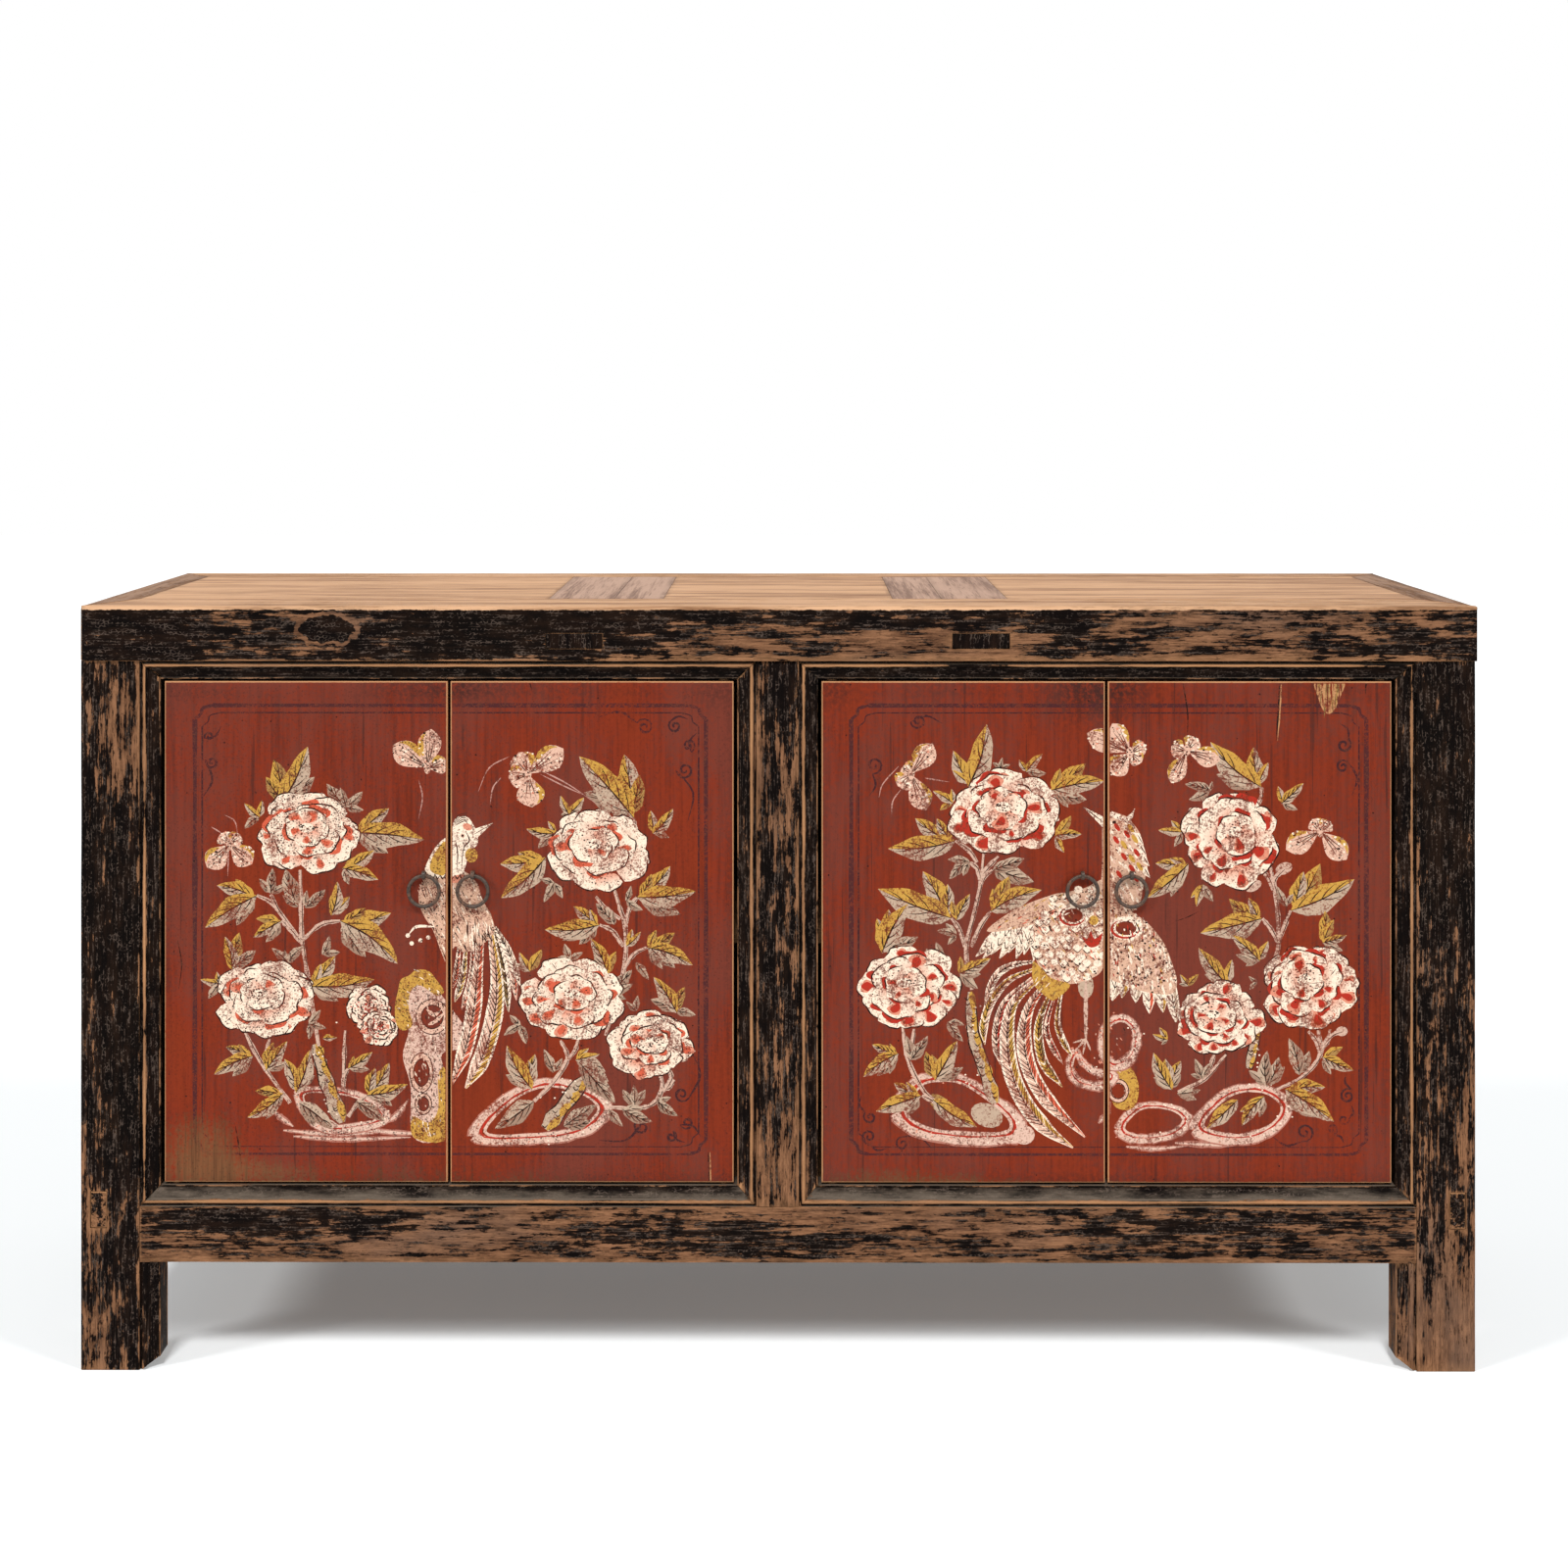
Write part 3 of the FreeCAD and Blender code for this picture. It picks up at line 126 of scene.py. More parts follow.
class Nodes:
    """A node tree, emptied, and the few kinds of node that the finishes are made of."""

    def __init__(self, tree):
        self.tree = tree
        tree.nodes.clear()

    def node(self, kind, settings, sockets, output=0):
        """A node of this kind, with its settings, then its sockets' values or links."""
        made = self.tree.nodes.new("ShaderNode" + kind)
        for name, setting in settings.items():
            setattr(made, name, setting)
        for name, value in sockets.items():
            if isinstance(value, Flow):
                self.tree.links.new(value.socket, made.inputs[name])
            else:
                made.inputs[name].default_value = value
        return Flow(self, made.outputs[output]) if made.outputs else None

    def attribute(self, name, output="Fac"):
        return self.node("Attribute", {"attribute_name": name}, {}, output)

    def vector(self, operation, first, second):
        return self.node("VectorMath", {"operation": operation}, {0: first, 1: second})

    def spot(self):
        """Where a point lies in its piece."""
        return self.node("TexCoord", {}, {}, "Object")

    def place(self):
        """Where a point lies in its piece, apart from one piece to the next by the piece's own shift."""
        return self.vector("ADD", self.spot(), self.attribute("shift", "Vector"))

    def along_grain(self, along, stretch):
        """The place, drawn out along the grain by this much."""
        scale = [1.0, 1.0, 1.0]
        scale[along] = 1 / stretch
        return self.vector("MULTIPLY", self.place(), scale)

    def noise(self, place, scale, detail, roughness=0.6):
        sockets = {"Vector": place, "Scale": scale, "Detail": detail, "Roughness": roughness}
        return self.node("TexNoise", {}, sockets)

    def drawn_noise(self, along, stretch, scale, detail, roughness=0.6):
        """Noise drawn out along the grain."""
        return self.noise(self.along_grain(along, stretch), scale, detail, roughness)

    def cells(self, place, scale, feature, output="Distance"):
        sockets = {"Vector": place, "Scale": scale}
        return self.node("TexVoronoi", {"feature": feature}, sockets, output)

    def step(self, value, low, high):
        """0 below the low value, 1 above the high one, and smooth between them."""
        sockets = {"Value": value, "From Min": low, "From Max": high}
        return self.node("MapRange", {"interpolation_type": "SMOOTHSTEP"}, sockets)

    def mix(self, first, second, share):
        """The first colour, with this share of the second."""
        sockets = {MIX_SHARE: share, MIX_FIRST_COLOUR: first, MIX_SECOND_COLOUR: second}
        return self.node("Mix", {"data_type": "RGBA"}, sockets, MIX_COLOUR_OUT)

    def surface(self, colour, roughness, height, relief, shine, metallic=0.0):
        """A surface of this colour, with its relief's depth in metres and how much it mirrors."""
        bump = self.node("Bump", {}, {"Strength": 1.0, "Distance": relief, "Height": height})
        sockets = {"Base Color": colour, "Roughness": roughness, "Normal": bump}
        sockets.update({"Metallic": metallic, "Specular IOR Level": shine})
        shader = self.node("BsdfPrincipled", {}, sockets)
        self.node("OutputMaterial", {}, {"Surface": shader})


def new_finish(name):
    material = bpy.data.materials.new(name)
    material.use_nodes = True
    return material, Nodes(material.node_tree)


# Finishes

LACQUER_BLACK = screen(12, 8, 7)
LACQUER_BROWN = screen(31, 20, 14)
# Grey of thin, worn lacquer, also used for painted highlights on the crackle
LACQUER_GHOST_AND_GLINT = screen(106, 90, 80)
LACQUER_DUST = screen(108, 96, 84)
RUBBED_BROWN = screen(76, 50, 35)
RUBBED_TAN = screen(140, 99, 71)
RUBBED_GREY = screen(114, 89, 74)
ARRIS_TAN = screen(186, 136, 94)
JOINT_DARK = screen(58, 44, 36)
PALE_WOOD = screen(203, 160, 124)
PALE_WOOD_DARK = screen(112, 74, 48)
BROWN_WOOD = screen(182, 149, 129)
BROWN_WOOD_DARK = screen(106, 78, 64)
END_WOOD = screen(154, 121, 97)
END_WOOD_DARK = screen(92, 64, 48)
INNER_WOOD = screen(134, 98, 66)
INNER_WOOD_DARK = screen(86, 60, 40)
IRON_GREY = screen(72, 58, 49)
IRON_RUST = screen(98, 70, 54)
IRON_BLACK = screen(30, 24, 21)
LACQUER_SHINE = 0.02
WOOD_SHINE = 0.2
IRON_SHINE = 0.35
DOOR_SHINE = 0.04
IRON_METALLIC = 0.2
WOOD_RELIEF = 0.5 * MM
IRON_RELIEF = 0.35 * MM
DOOR_RELIEF = 0.3 * MM


def wood_colours(nodes, along, light, dark):
    """Grain between two colours, with dark pores and stains drawn out along the grain."""
    bands = nodes.drawn_noise(along, 20.0, 48.0, 6.0, 0.75)
    fibres = nodes.drawn_noise(along, 30.0, 460.0, 3.0)
    stains = nodes.drawn_noise(along, 3.0, 9.0, 4.0)
    grain = nodes.mix(light, dark, nodes.step(bands * 0.75 + fibres * 0.25, 0.44, 0.62) * 0.8)
    pores = nodes.step(nodes.drawn_noise(along, 16.0, 240.0, 4.0, 0.7), 0.6, 0.68)
    marked = nodes.mix(grain, dark, pores * nodes.step(stains, 0.36, 0.6) * 0.9)
    stained = nodes.mix(marked, dark, nodes.step(stains, 0.5, 0.8) * 0.5)
    return stained, fibres


def knot_rings(nodes, centre, reach):
    """How far a point is from a knot's centre, 1 at its rim, with the rim drawn a little uneven."""
    offset = nodes.vector("SUBTRACT", nodes.spot(), centre)
    scaled = nodes.vector("MULTIPLY", offset, [1 / axis for axis in reach])
    distance = nodes.node("VectorMath", {"operation": "LENGTH"}, {0: scaled}, "Value")
    return distance + (nodes.noise(nodes.place(), 45.0, 3.0) - 0.5) * 0.9


def lacquer(name, along, light, dark, knot=None):
    """Black lacquer, flaked and rubbed along the grain down to the wood, most on the arrises.

    Where it is scrubbed off, the wood is between the light and the dark colour.
    """
    material, nodes = new_finish(name + "_" + AXIS_LETTERS[along])
    arris = nodes.attribute("arris")
    crease = nodes.attribute("crease")
    scrubbed = nodes.attribute("scrubbed")
    streaks = nodes.drawn_noise(along, 13.0, 230.0, 6.0, 0.72)
    flakes = nodes.drawn_noise(along, 4.0, 70.0, 8.0, 0.7)
    chips = nodes.drawn_noise(along, 1.7, 150.0, 5.0, 0.68)
    broad = nodes.drawn_noise(along, 3.0, 9.0, 4.0)
    fibres = nodes.drawn_noise(along, 18.0, 520.0, 3.0)
    crackle = nodes.cells(nodes.along_grain(along, 1.6), 300.0, "DISTANCE_TO_EDGE")
    rubbing = streaks * 0.5 + flakes * 0.45 + chips * 0.25 + broad * 0.3 + nodes.attribute("wear") * 0.5
    if knot:
        ring = knot_rings(nodes, *knot)
        rim = nodes.step(ring, 0.78, 0.86) * (1 - nodes.step(ring, 0.92, 1.02))
        rubbing = rubbing + rim * 0.16 - (1 - nodes.step(ring, 0.66, 0.82)) * 0.2
    bare = nodes.step(rubbing + arris * 0.36 - crease * 0.3, 0.965, 0.985)
    thin = nodes.step(rubbing + arris * 0.2, 0.88, 0.97)
    black = nodes.mix(LACQUER_BLACK, LACQUER_BROWN, nodes.step(flakes, 0.4, 0.66))
    black = nodes.mix(black, LACQUER_GHOST_AND_GLINT, thin * nodes.step(fibres, 0.5, 0.62) * 0.3)
    # Painted highlights: pale glints scattered over the crackle
    glints = (1 - nodes.step(crackle, 0.05, 0.14)) * nodes.step(fibres * 0.5 + chips * 0.5, 0.5, 0.58)
    black = nodes.mix(black, LACQUER_GHOST_AND_GLINT, glints * 0.45)
    dusty = nodes.step(nodes.attribute("dust") + (flakes - 0.5) * 0.9 + (broad - 0.5) * 0.8, 0.3, 0.75)
    black = nodes.mix(black, LACQUER_DUST, dusty * 0.75)
    tan = nodes.step(flakes * 0.35 + fibres * 0.3 + streaks * 0.35, 0.43, 0.6)
    brown = nodes.mix(RUBBED_BROWN, RUBBED_TAN, tan)
    brown = nodes.mix(brown, RUBBED_GREY, nodes.step(broad, 0.52, 0.7) * 0.5)
    brown = nodes.mix(brown, LACQUER_BROWN, nodes.step(fibres * 0.6 + chips * 0.4, 0.52, 0.62) * 0.7)
    brown = nodes.mix(brown, ARRIS_TAN, arris * 0.8)
    worn = nodes.mix(black, brown, bare)
    pale, _ = wood_colours(nodes, along, light, dark)
    colour = nodes.mix(worn, pale, nodes.step(scrubbed + (chips - 0.5) * 1.2, 0.42, 0.56))
    roughness = 0.4 + bare * 0.3 + scrubbed * 0.1
    height = fibres * 0.35 + flakes * 0.3 - bare * 0.7 + nodes.step(crackle, 0.0, 0.12) * 0.25
    nodes.surface(colour, roughness, height, WOOD_RELIEF, LACQUER_SHINE)
    return material


def bare_wood(name, along, light, dark):
    """Wood with no finish, dulled by use, a little paler on its arrises."""
    material, nodes = new_finish(name + "_" + AXIS_LETTERS[along])
    arris = nodes.attribute("arris")
    colour, fibres = wood_colours(nodes, along, light, dark)
    rubbed = nodes.mix(colour, light, arris * 0.6)
    # Darker in creases
    darker_in_creases = nodes.mix(rubbed, dark, nodes.attribute("crease") * 0.8)
    jointed = nodes.mix(darker_in_creases, JOINT_DARK, nodes.attribute("joint") * 0.85)
    nodes.surface(jointed, 0.66 + fibres * 0.12, fibres, WOOD_RELIEF, WOOD_SHINE)
    return material


def forged_iron():
    """Dark forged iron, browned by rust in patches and darkened along its grain."""
    material, nodes = new_finish("forged_iron")
    grain = nodes.noise(nodes.place(), 420.0, 5.0)
    patches = nodes.noise(nodes.place(), 95.0, 4.0)
    rust = nodes.step(patches, 0.46, 0.66)
    colour = nodes.mix(IRON_GREY, IRON_RUST, rust)
    colour = nodes.mix(colour, IRON_BLACK, nodes.step(grain, 0.46, 0.66) * 0.8)
    nodes.surface(colour, 0.42 + rust * 0.25, grain, IRON_RELIEF, IRON_SHINE, IRON_METALLIC)
    return material


DOOR_RED = screen(123, 45, 26)
DOOR_DEEP_RED = screen(84, 31, 20)
DOOR_DUSTY = screen(105, 55, 45)
DOOR_ORANGE = screen(126, 48, 24)
DOOR_GRIME_AND_SHADE = screen(50, 32, 29)
DOOR_WORN = screen(116, 80, 52)
DOOR_WORN_DARK = screen(86, 58, 38)
DOOR_ARRIS = screen(192, 140, 98)
DOOR_INK = screen(30, 22, 21)


def door_paint():
    """Red paint over vertical boards, with the painted shapes on it, rubbed, specked and chipped."""
    material, nodes = new_finish("door_paint")
    place = nodes.place()
    arris = nodes.attribute("arris")
    cover = nodes.attribute("cover")
    streaks = nodes.drawn_noise(Z, 24.0, 190.0, 5.0, 0.65)
    clouds = nodes.drawn_noise(Z, 2.0, 8.0, 4.0)
    mottle = nodes.noise(place, 210.0, 5.0, 0.7)
    grit = nodes.noise(place, 620.0, 3.0, 0.6)
    red = nodes.mix(DOOR_RED, DOOR_DEEP_RED, nodes.step(streaks * 0.6 + mottle * 0.4, 0.42, 0.68))
    red = nodes.mix(red, DOOR_DUSTY, nodes.step(clouds + (mottle - 0.5) * 0.4, 0.4, 0.62) * 0.65)
    red = nodes.mix(red, DOOR_ORANGE, (1 - nodes.step(clouds, 0.32, 0.5)) * 0.6)
    fissures = nodes.drawn_noise(Z, 34.0, 170.0, 2.0, 0.5)
    red = nodes.mix(red, DOOR_GRIME_AND_SHADE, nodes.step(fissures, 0.66, 0.72) * 0.5)
    # Painted shade darkens the doors along their gaps and where they meet the frame, with some grime at
    # the top corners
    red = nodes.mix(red, DOOR_GRIME_AND_SHADE, nodes.attribute("grime_and_shade") * nodes.step(mottle, 0.3, 0.6) * 0.85)
    loss = nodes.attribute("worn") + (streaks - 0.5) * 1.2 + (mottle - 0.5) * 0.9 + (clouds - 0.5) * 0.8
    worn = nodes.step(loss, 0.4, 0.95)
    wood = nodes.mix(DOOR_WORN, DOOR_WORN_DARK, nodes.step(streaks, 0.4, 0.7))
    ground = nodes.mix(red, wood, worn * 0.85)
    pigment = nodes.attribute("pigment", "Color")
    shade = nodes.mix(pigment, DOOR_WORN, nodes.step(mottle * 0.5 + grit * 0.5, 0.46, 0.68) * 0.42)
    patches = nodes.noise(place, 40.0, 3.0)
    rubbing = mottle * 0.45 + grit * 0.55 + patches * 0.45 + streaks * 0.2 + worn * 0.25
    rubbed_off = nodes.step(rubbing, 0.8, 0.94)
    painted = nodes.mix(ground, shade, cover * (1 - rubbed_off * 0.85))
    dots = nodes.cells(place, 270.0, "F1")
    chance = nodes.cells(place, 270.0, "F1", "Color")
    crowd = nodes.noise(place, 30.0, 3.0)
    speck = (1 - nodes.step(dots, 0.18, 0.34)) * nodes.step(chance * 0.6 + crowd * 0.9, 0.76, 0.8)
    colour = nodes.mix(painted, DOOR_INK, speck * nodes.attribute("specks"))
    holes = (1 - nodes.step(nodes.cells(place, 62.0, "F1"), 0.05, 0.075)) * nodes.step(crowd, 0.5, 0.56)
    colour = nodes.mix(colour, DOOR_INK, holes * 0.85)
    rubbed_arris = nodes.step(arris + (mottle - 0.5) * 0.9 + (clouds - 0.5) * 0.7, 0.6, 0.9)
    colour = nodes.mix(colour, DOOR_ARRIS, rubbed_arris * 0.85)
    height = streaks * 0.5 + mottle * 0.25 + cover * 0.25 - holes - speck * 0.3
    nodes.surface(colour, 0.5 + mottle * 0.16, height, DOOR_RELIEF, DOOR_SHINE)
    return material


KNOT_CENTRE = (-0.516, -0.228, 0.8505)
KNOT_REACH = (0.040, 0.030, 0.020)
KNOT = (KNOT_CENTRE, KNOT_REACH)
LACQUER = {axis: lacquer("lacquer", axis, PALE_WOOD, PALE_WOOD_DARK) for axis in (X, Y, Z)}
KNOTTY_LACQUER = lacquer("knotty_lacquer", X, PALE_WOOD, PALE_WOOD_DARK, KNOT)
END_LACQUER = lacquer("end_lacquer", Y, END_WOOD, END_WOOD_DARK)
PALE_TOP = bare_wood("pale_top", X, PALE_WOOD, PALE_WOOD_DARK)
BROWN_TOP = bare_wood("brown_top", Y, BROWN_WOOD, BROWN_WOOD_DARK)
INNER = {axis: bare_wood("inner_wood", axis, INNER_WOOD, INNER_WOOD_DARK) for axis in (X, Y, Z)}
IRON = forged_iron()
DOOR_PAINT = door_paint()


# Frame, top and inside: every board is a worn copy of its solid

SHARP = math.radians(30)
SMOOTH_UNDER = math.radians(40)
FLAT = math.radians(0.5)
WELD = 0.002 * MM
CUT_WELD = 0.0001 * MM
SLACK = 0.2 * MM
LEAST_BEND = math.radians(8)
FULL_BEND = math.radians(48)
TOP_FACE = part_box("top_front_rail")[1].z
TOP_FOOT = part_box("top_front_rail")[0].z
LEFT_CORNER = 15 * MM
RIGHT_CORNER = 7 * MM
FRONT_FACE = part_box("leg_front_left")[0].y
OPENING_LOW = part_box("left_outer_door_boards")[0] + Vector((-4, 0, -2.5)) * MM
OPENING_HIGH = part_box("left_inner_door_boards")[1] + Vector((4, 0, 2.5)) * MM
BEAD_MIDDLE = 16.6 * MM
BEAD_REACH = 1.7 * MM
BEAD_DEPTH = 3.4 * MM
TENON_END_DEPTH = 3 * MM
LONG_CELL = 14 * MM
CROSS_CELL = 9 * MM
FINE_ROUNDING = 0.4 * MM
BOARD_ROUNDING = 1.4 * MM
OUTER_ROUNDING = 5.0 * MM
SWELL = 0.28 * MM
NICK = 0.9 * MM
SWELL_SCALE = 16
NICK_SCALE = 55

# Depths below the top's face, in millimetres
SCRUBBED_END = 6.5
SCRUBBED_FADE = 4.5
JOINT_DEPTH = 3
DUST_START = 30


def sliced(shape, cells):
    """Cuts the faces into cells of about these sizes along X, Y and Z."""
    corners = np.array([vertex.co for vertex in shape.verts])
    low = corners.min(0)
    span = corners.max(0) - low
    for axis, cell in enumerate(cells):
        count = max(1, round(span[axis] / cell))
        normal = Vector((0, 0, 0))
        normal[axis] = 1
        for cut in range(1, count):
            middle = Vector(low)
            middle[axis] += span[axis] * cut / count
            geometry = shape.verts[:] + shape.edges[:] + shape.faces[:]
            bmesh.ops.bisect_plane(shape, geom=geometry, dist=CUT_WELD, plane_co=middle, plane_no=normal)


def bends(vertex):
    """How far the surface turns outwards, as on an arris, and inwards, as in a crease, from 0 to 1."""
    angles = [edge.calc_face_angle_signed(0) for edge in vertex.link_edges if edge.is_manifold]
    outwards = max(angles, default=0)
    inwards = -min(angles, default=0)
    shares = [(bend - LEAST_BEND) / (FULL_BEND - LEAST_BEND) for bend in (outwards, inwards)]
    return [min(1, max(0, share)) for share in shares]


def bead_crest(point):
    """How near a point is to the crest of the bead round a door opening, from 0 to 1."""
    if point.y > FRONT_FACE + BEAD_DEPTH:
        return 0.0
    x = -abs(point.x)
    away = max(OPENING_LOW.x - x, x - OPENING_HIGH.x, OPENING_LOW.z - point.z, point.z - OPENING_HIGH.z)
    rubbed = 0.72 + 0.6 * field.noise(point * 11)
    return rubbed * math.exp(-((away - BEAD_MIDDLE) / BEAD_REACH) ** 2)


def piece_shift(name):
    """A shift of the grain that belongs to this piece alone."""
    number = sum((place + 1) * ord(letter) for place, letter in enumerate(name))
    return np.random.default_rng(number).uniform(-5, 5, 3)


def put_attribute(mesh, name, kind, domain, values):
    field_name = {"FLOAT": "value", "FLOAT_VECTOR": "vector", "FLOAT_COLOR": "color"}[kind]
    made = mesh.attributes.new(name, kind, domain)
    made.data.foreach_set(field_name, np.asarray(values, np.float32).ravel())


def put_levels(mesh, levels):
    """One attribute of the mesh's vertices for each named list of levels."""
    for name, values in levels.items():
        put_attribute(mesh, name, "FLOAT", "POINT", values)


def put_shift(mesh, name):
    """The shift of the grain that belongs to the piece of this name, on every vertex."""
    shifts = np.tile(piece_shift(name), (len(mesh.vertices), 1))
    put_attribute(mesh, "shift", "FLOAT_VECTOR", "POINT", shifts)


def shade_smooth(mesh):
    mesh.polygons.foreach_set("use_smooth", [True] * len(mesh.polygons))
    mesh.set_sharp_from_angle(angle=SMOOTH_UNDER)


def rounded(shape, edges, rounding, segments):
    if edges:
        bmesh.ops.bevel(shape, geom=edges, offset=rounding, offset_type="OFFSET", segments=segments,
                        profile=0.6, affect="EDGES", clamp_overlap=True)


def sharp_edges(shape):
    return [edge for edge in shape.edges if edge.is_manifold and edge.calc_face_angle(0) > SHARP]


def is_outer(edge):
    """Whether an edge runs along the outside of the whole top, where hands have rounded it."""
    middle = (edge.verts[0].co + edge.verts[1].co) / 2
    at_side = min(abs(middle.x - CAD_BOX[0].x), abs(middle.x - CAD_BOX[1].x)) < SLACK
    at_front = min(abs(middle.y - CAD_BOX[0].y), abs(middle.y - CAD_BOX[1].y)) < SLACK
    at_top = abs(middle.z - TOP_FACE) < SLACK
    return at_side + at_front + at_top >= 2


def pulled_in(point):
    """A point of the top, drawn in from the top's worn upright corners."""
    radius = LEFT_CORNER if point.x < 0 else RIGHT_CORNER
    away = Vector((abs(point.x) - CAD_BOX[1].x + radius, abs(point.y) - CAD_BOX[1].y + radius))
    if point.z < TOP_FOOT or min(away) < 0 or away.length < radius:
        return point
    moved = away * (radius / away.length) - away
    return point + Vector((math.copysign(1, point.x) * moved.x, math.copysign(1, point.y) * moved.y, 0))


def worn_copy(name, finish, slot, rounding, cells, wear, end_finish=None):
    """A copy of a solid with worn, uneven faces and rounded arrises, which stands for it.

    The end finish is for tenon ends that come out through the front or the back of the object.
    """
    shape = bmesh.new()
    shape.from_mesh(NODES[name].data)
    bmesh.ops.remove_doubles(shape, verts=shape.verts[:], dist=WELD)
    bmesh.ops.dissolve_limit(shape, angle_limit=FLAT, verts=shape.verts[:], edges=shape.edges[:])
    rounded(shape, [edge for edge in sharp_edges(shape) if is_outer(edge)], OUTER_ROUNDING, 4)
    rounded(shape, sharp_edges(shape), rounding, 2)
    sliced(shape, cells)
    shape.normal_update()
    turned = np.array([bends(vertex) for vertex in shape.verts])
    arris = np.maximum(turned[:, 0], [bead_crest(vertex.co) for vertex in shape.verts])
    below = np.array([TOP_FACE - vertex.co.z for vertex in shape.verts]) / MM
    upwards = np.array([vertex.normal.z for vertex in shape.verts])
    levels = {
        "arris": arris,
        "crease": turned[:, 1],
        "wear": [wear(vertex.co) for vertex in shape.verts],
        "scrubbed": np.clip((SCRUBBED_END - below) / SCRUBBED_FADE, 0, 1),
        "joint": np.where(below < JOINT_DEPTH, arris, 0),
        "dust": np.where(below > DUST_START, np.clip(upwards, 0, 1), 0),
    }
    for vertex, bend in zip(shape.verts, arris):
        swell = SWELL * (1 + field.noise(vertex.co * SWELL_SCALE))
        nick = NICK * bend * max(0, field.noise(vertex.co * NICK_SCALE))
        vertex.co = pulled_in(vertex.co - vertex.normal * (swell + nick))
    if end_finish:
        for face in shape.faces:
            depth = CAD_BOX[1].y - abs(face.calc_center_median().y)
            face.material_index = int(depth < TENON_END_DEPTH)
    mesh = bpy.data.meshes.new(name + "_worn")
    shape.to_mesh(mesh)
    shape.free()
    put_levels(mesh, levels)
    put_shift(mesh, name)
    shade_smooth(mesh)
    mesh.materials.append(finish)
    if end_finish:
        mesh.materials.append(end_finish)
    stand_for(bpy.data.objects.new(name + "_worn", mesh), name, slot)


def stand_for(piece, node, slot):
    """Puts a piece in the scene in place of a node, on that node's body."""
    bpy.context.scene.collection.objects.link(piece)
    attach(piece, NODES[node]["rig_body"])
    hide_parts(node)


def even_wear(level):
    return lambda point: level


def spotted_wear(level, spots):
    """Wear at this level, changed in spots: (x, z, reach in x, reach in z, change), in millimetres."""
    def wear(point):
        total = level
        for x, z, reach_x, reach_z, change in spots:
            away = ((point.x / MM - x) / reach_x) ** 2 + ((point.z / MM - z) / reach_z) ** 2
            total += change * math.exp(-away)
        return total
    return wear


NO_WEAR = even_wear(0)
FASCIA_WEAR = spotted_wear(0.3, (
    (-720, 845, 60, 60, -0.12), (-600, 850, 90, 40, 0.1), (-330, 840, 130, 60, -0.14),
    (-60, 838, 90, 40, 0.14), (150, 836, 200, 26, 0.22), (420, 845, 140, 60, 0.12),
    (640, 845, 140, 60, 0.14), (330, 850, 40, 40, -0.16)))
FOOT_RAIL_WEAR = spotted_wear(0.5, (
    (-560, 170, 200, 20, -0.2), (450, 165, 200, 26, -0.16), (-150, 150, 120, 16, -0.14),
    (0, 204, 4000, 12, -0.34)))
LEFT_LEG_WEAR = spotted_wear(0.26, (
    (-760, 40, 80, 90, 0.14), (-795, 300, 24, 300, 0.12), (-765, 700, 22, 140, 0.2),
    (-760, 170, 60, 50, 0.1), (-740, 740, 14, 60, 0.24), (-770, 480, 40, 60, -0.08)))
RIGHT_LEG_WEAR = spotted_wear(0.27, (
    (760, 40, 80, 100, 0.28), (795, 300, 24, 300, 0.1), (760, 300, 60, 120, 0.1),
    (770, 640, 40, 80, -0.06)))
STILE_WEAR = spotted_wear(0.32, (
    (-14, 700, 18, 90, 0.16), (12, 650, 12, 120, 0.12), (0, 260, 40, 120, 0.16)))


def cells_along(along):
    cells = [CROSS_CELL] * 3
    cells[along] = LONG_CELL
    return cells


def make_boards(names, along, finishes, slot, rounding, wear):
    for name in names:
        worn_copy(name, finishes[along], slot, rounding, cells_along(along), wear)


def both_sides(name):
    return [name + "_left", name + "_right"]


def make_case():
    side_rails = both_sides("side_upper_rail") + both_sides("side_lower_rail")
    for names, along, rounding, wear in (
            (["leg_front_left"], Z, FINE_ROUNDING, LEFT_LEG_WEAR),
            (["leg_front_right"], Z, FINE_ROUNDING, RIGHT_LEG_WEAR),
            (["centre_stile"], Z, FINE_ROUNDING, STILE_WEAR),
            (both_sides("upper_rail"), X, FINE_ROUNDING, even_wear(0.2)),
            (["lower_front_rail"], X, FINE_ROUNDING, FOOT_RAIL_WEAR),
            (both_sides("leg_back") + ["back_stile"], Z, BOARD_ROUNDING, even_wear(0.36)),
            (side_rails, Y, BOARD_ROUNDING, even_wear(0.34)),
            (both_sides("side_panel"), Z, BOARD_ROUNDING, even_wear(0.26)),
            (["back_upper_rail", "back_lower_rail"], X, BOARD_ROUNDING, even_wear(0.4))):
        make_boards(names, along, LACQUER, "black_lacquer", rounding, wear)


def make_inside():
    for names, along in (
            (both_sides("back_panel") + ["partition"], Z),
            (both_sides("floor_board") + both_sides("shelf") + ["door_stops"], X),
            (both_sides("shelf_bearers") + ["lower_cross_rail"], Y)):
        make_boards(names, along, INNER, "inner_wood", BOARD_ROUNDING, NO_WEAR)


def make_top():
    pale, brown = "top_pale_wood", "top_brown_wood"
    panels = both_sides("top_panel") + ["top_panel_centre"]
    for names, along, finish, slot, wear in (
            (["top_front_rail"], X, KNOTTY_LACQUER, "black_lacquer", FASCIA_WEAR),
            (["top_back_rail"], X, LACQUER[X], pale, even_wear(0.4)),
            (both_sides("top_end_rail"), Y, END_LACQUER, brown, even_wear(0.36)),
            (panels, X, PALE_TOP, pale, NO_WEAR),
            (both_sides("top_narrow_board"), Y, BROWN_TOP, brown, NO_WEAR)):
        make_boards(names, along, {along: finish}, slot, FINE_ROUNDING, wear)
    for name in both_sides("top_cross_board"):
        worn_copy(name, BROWN_TOP, brown, FINE_ROUNDING, cells_along(Y), even_wear(0.16), LACQUER[Z])


# Painting on the doors: every shape comes from a formula, set at a place in pixels of the photo

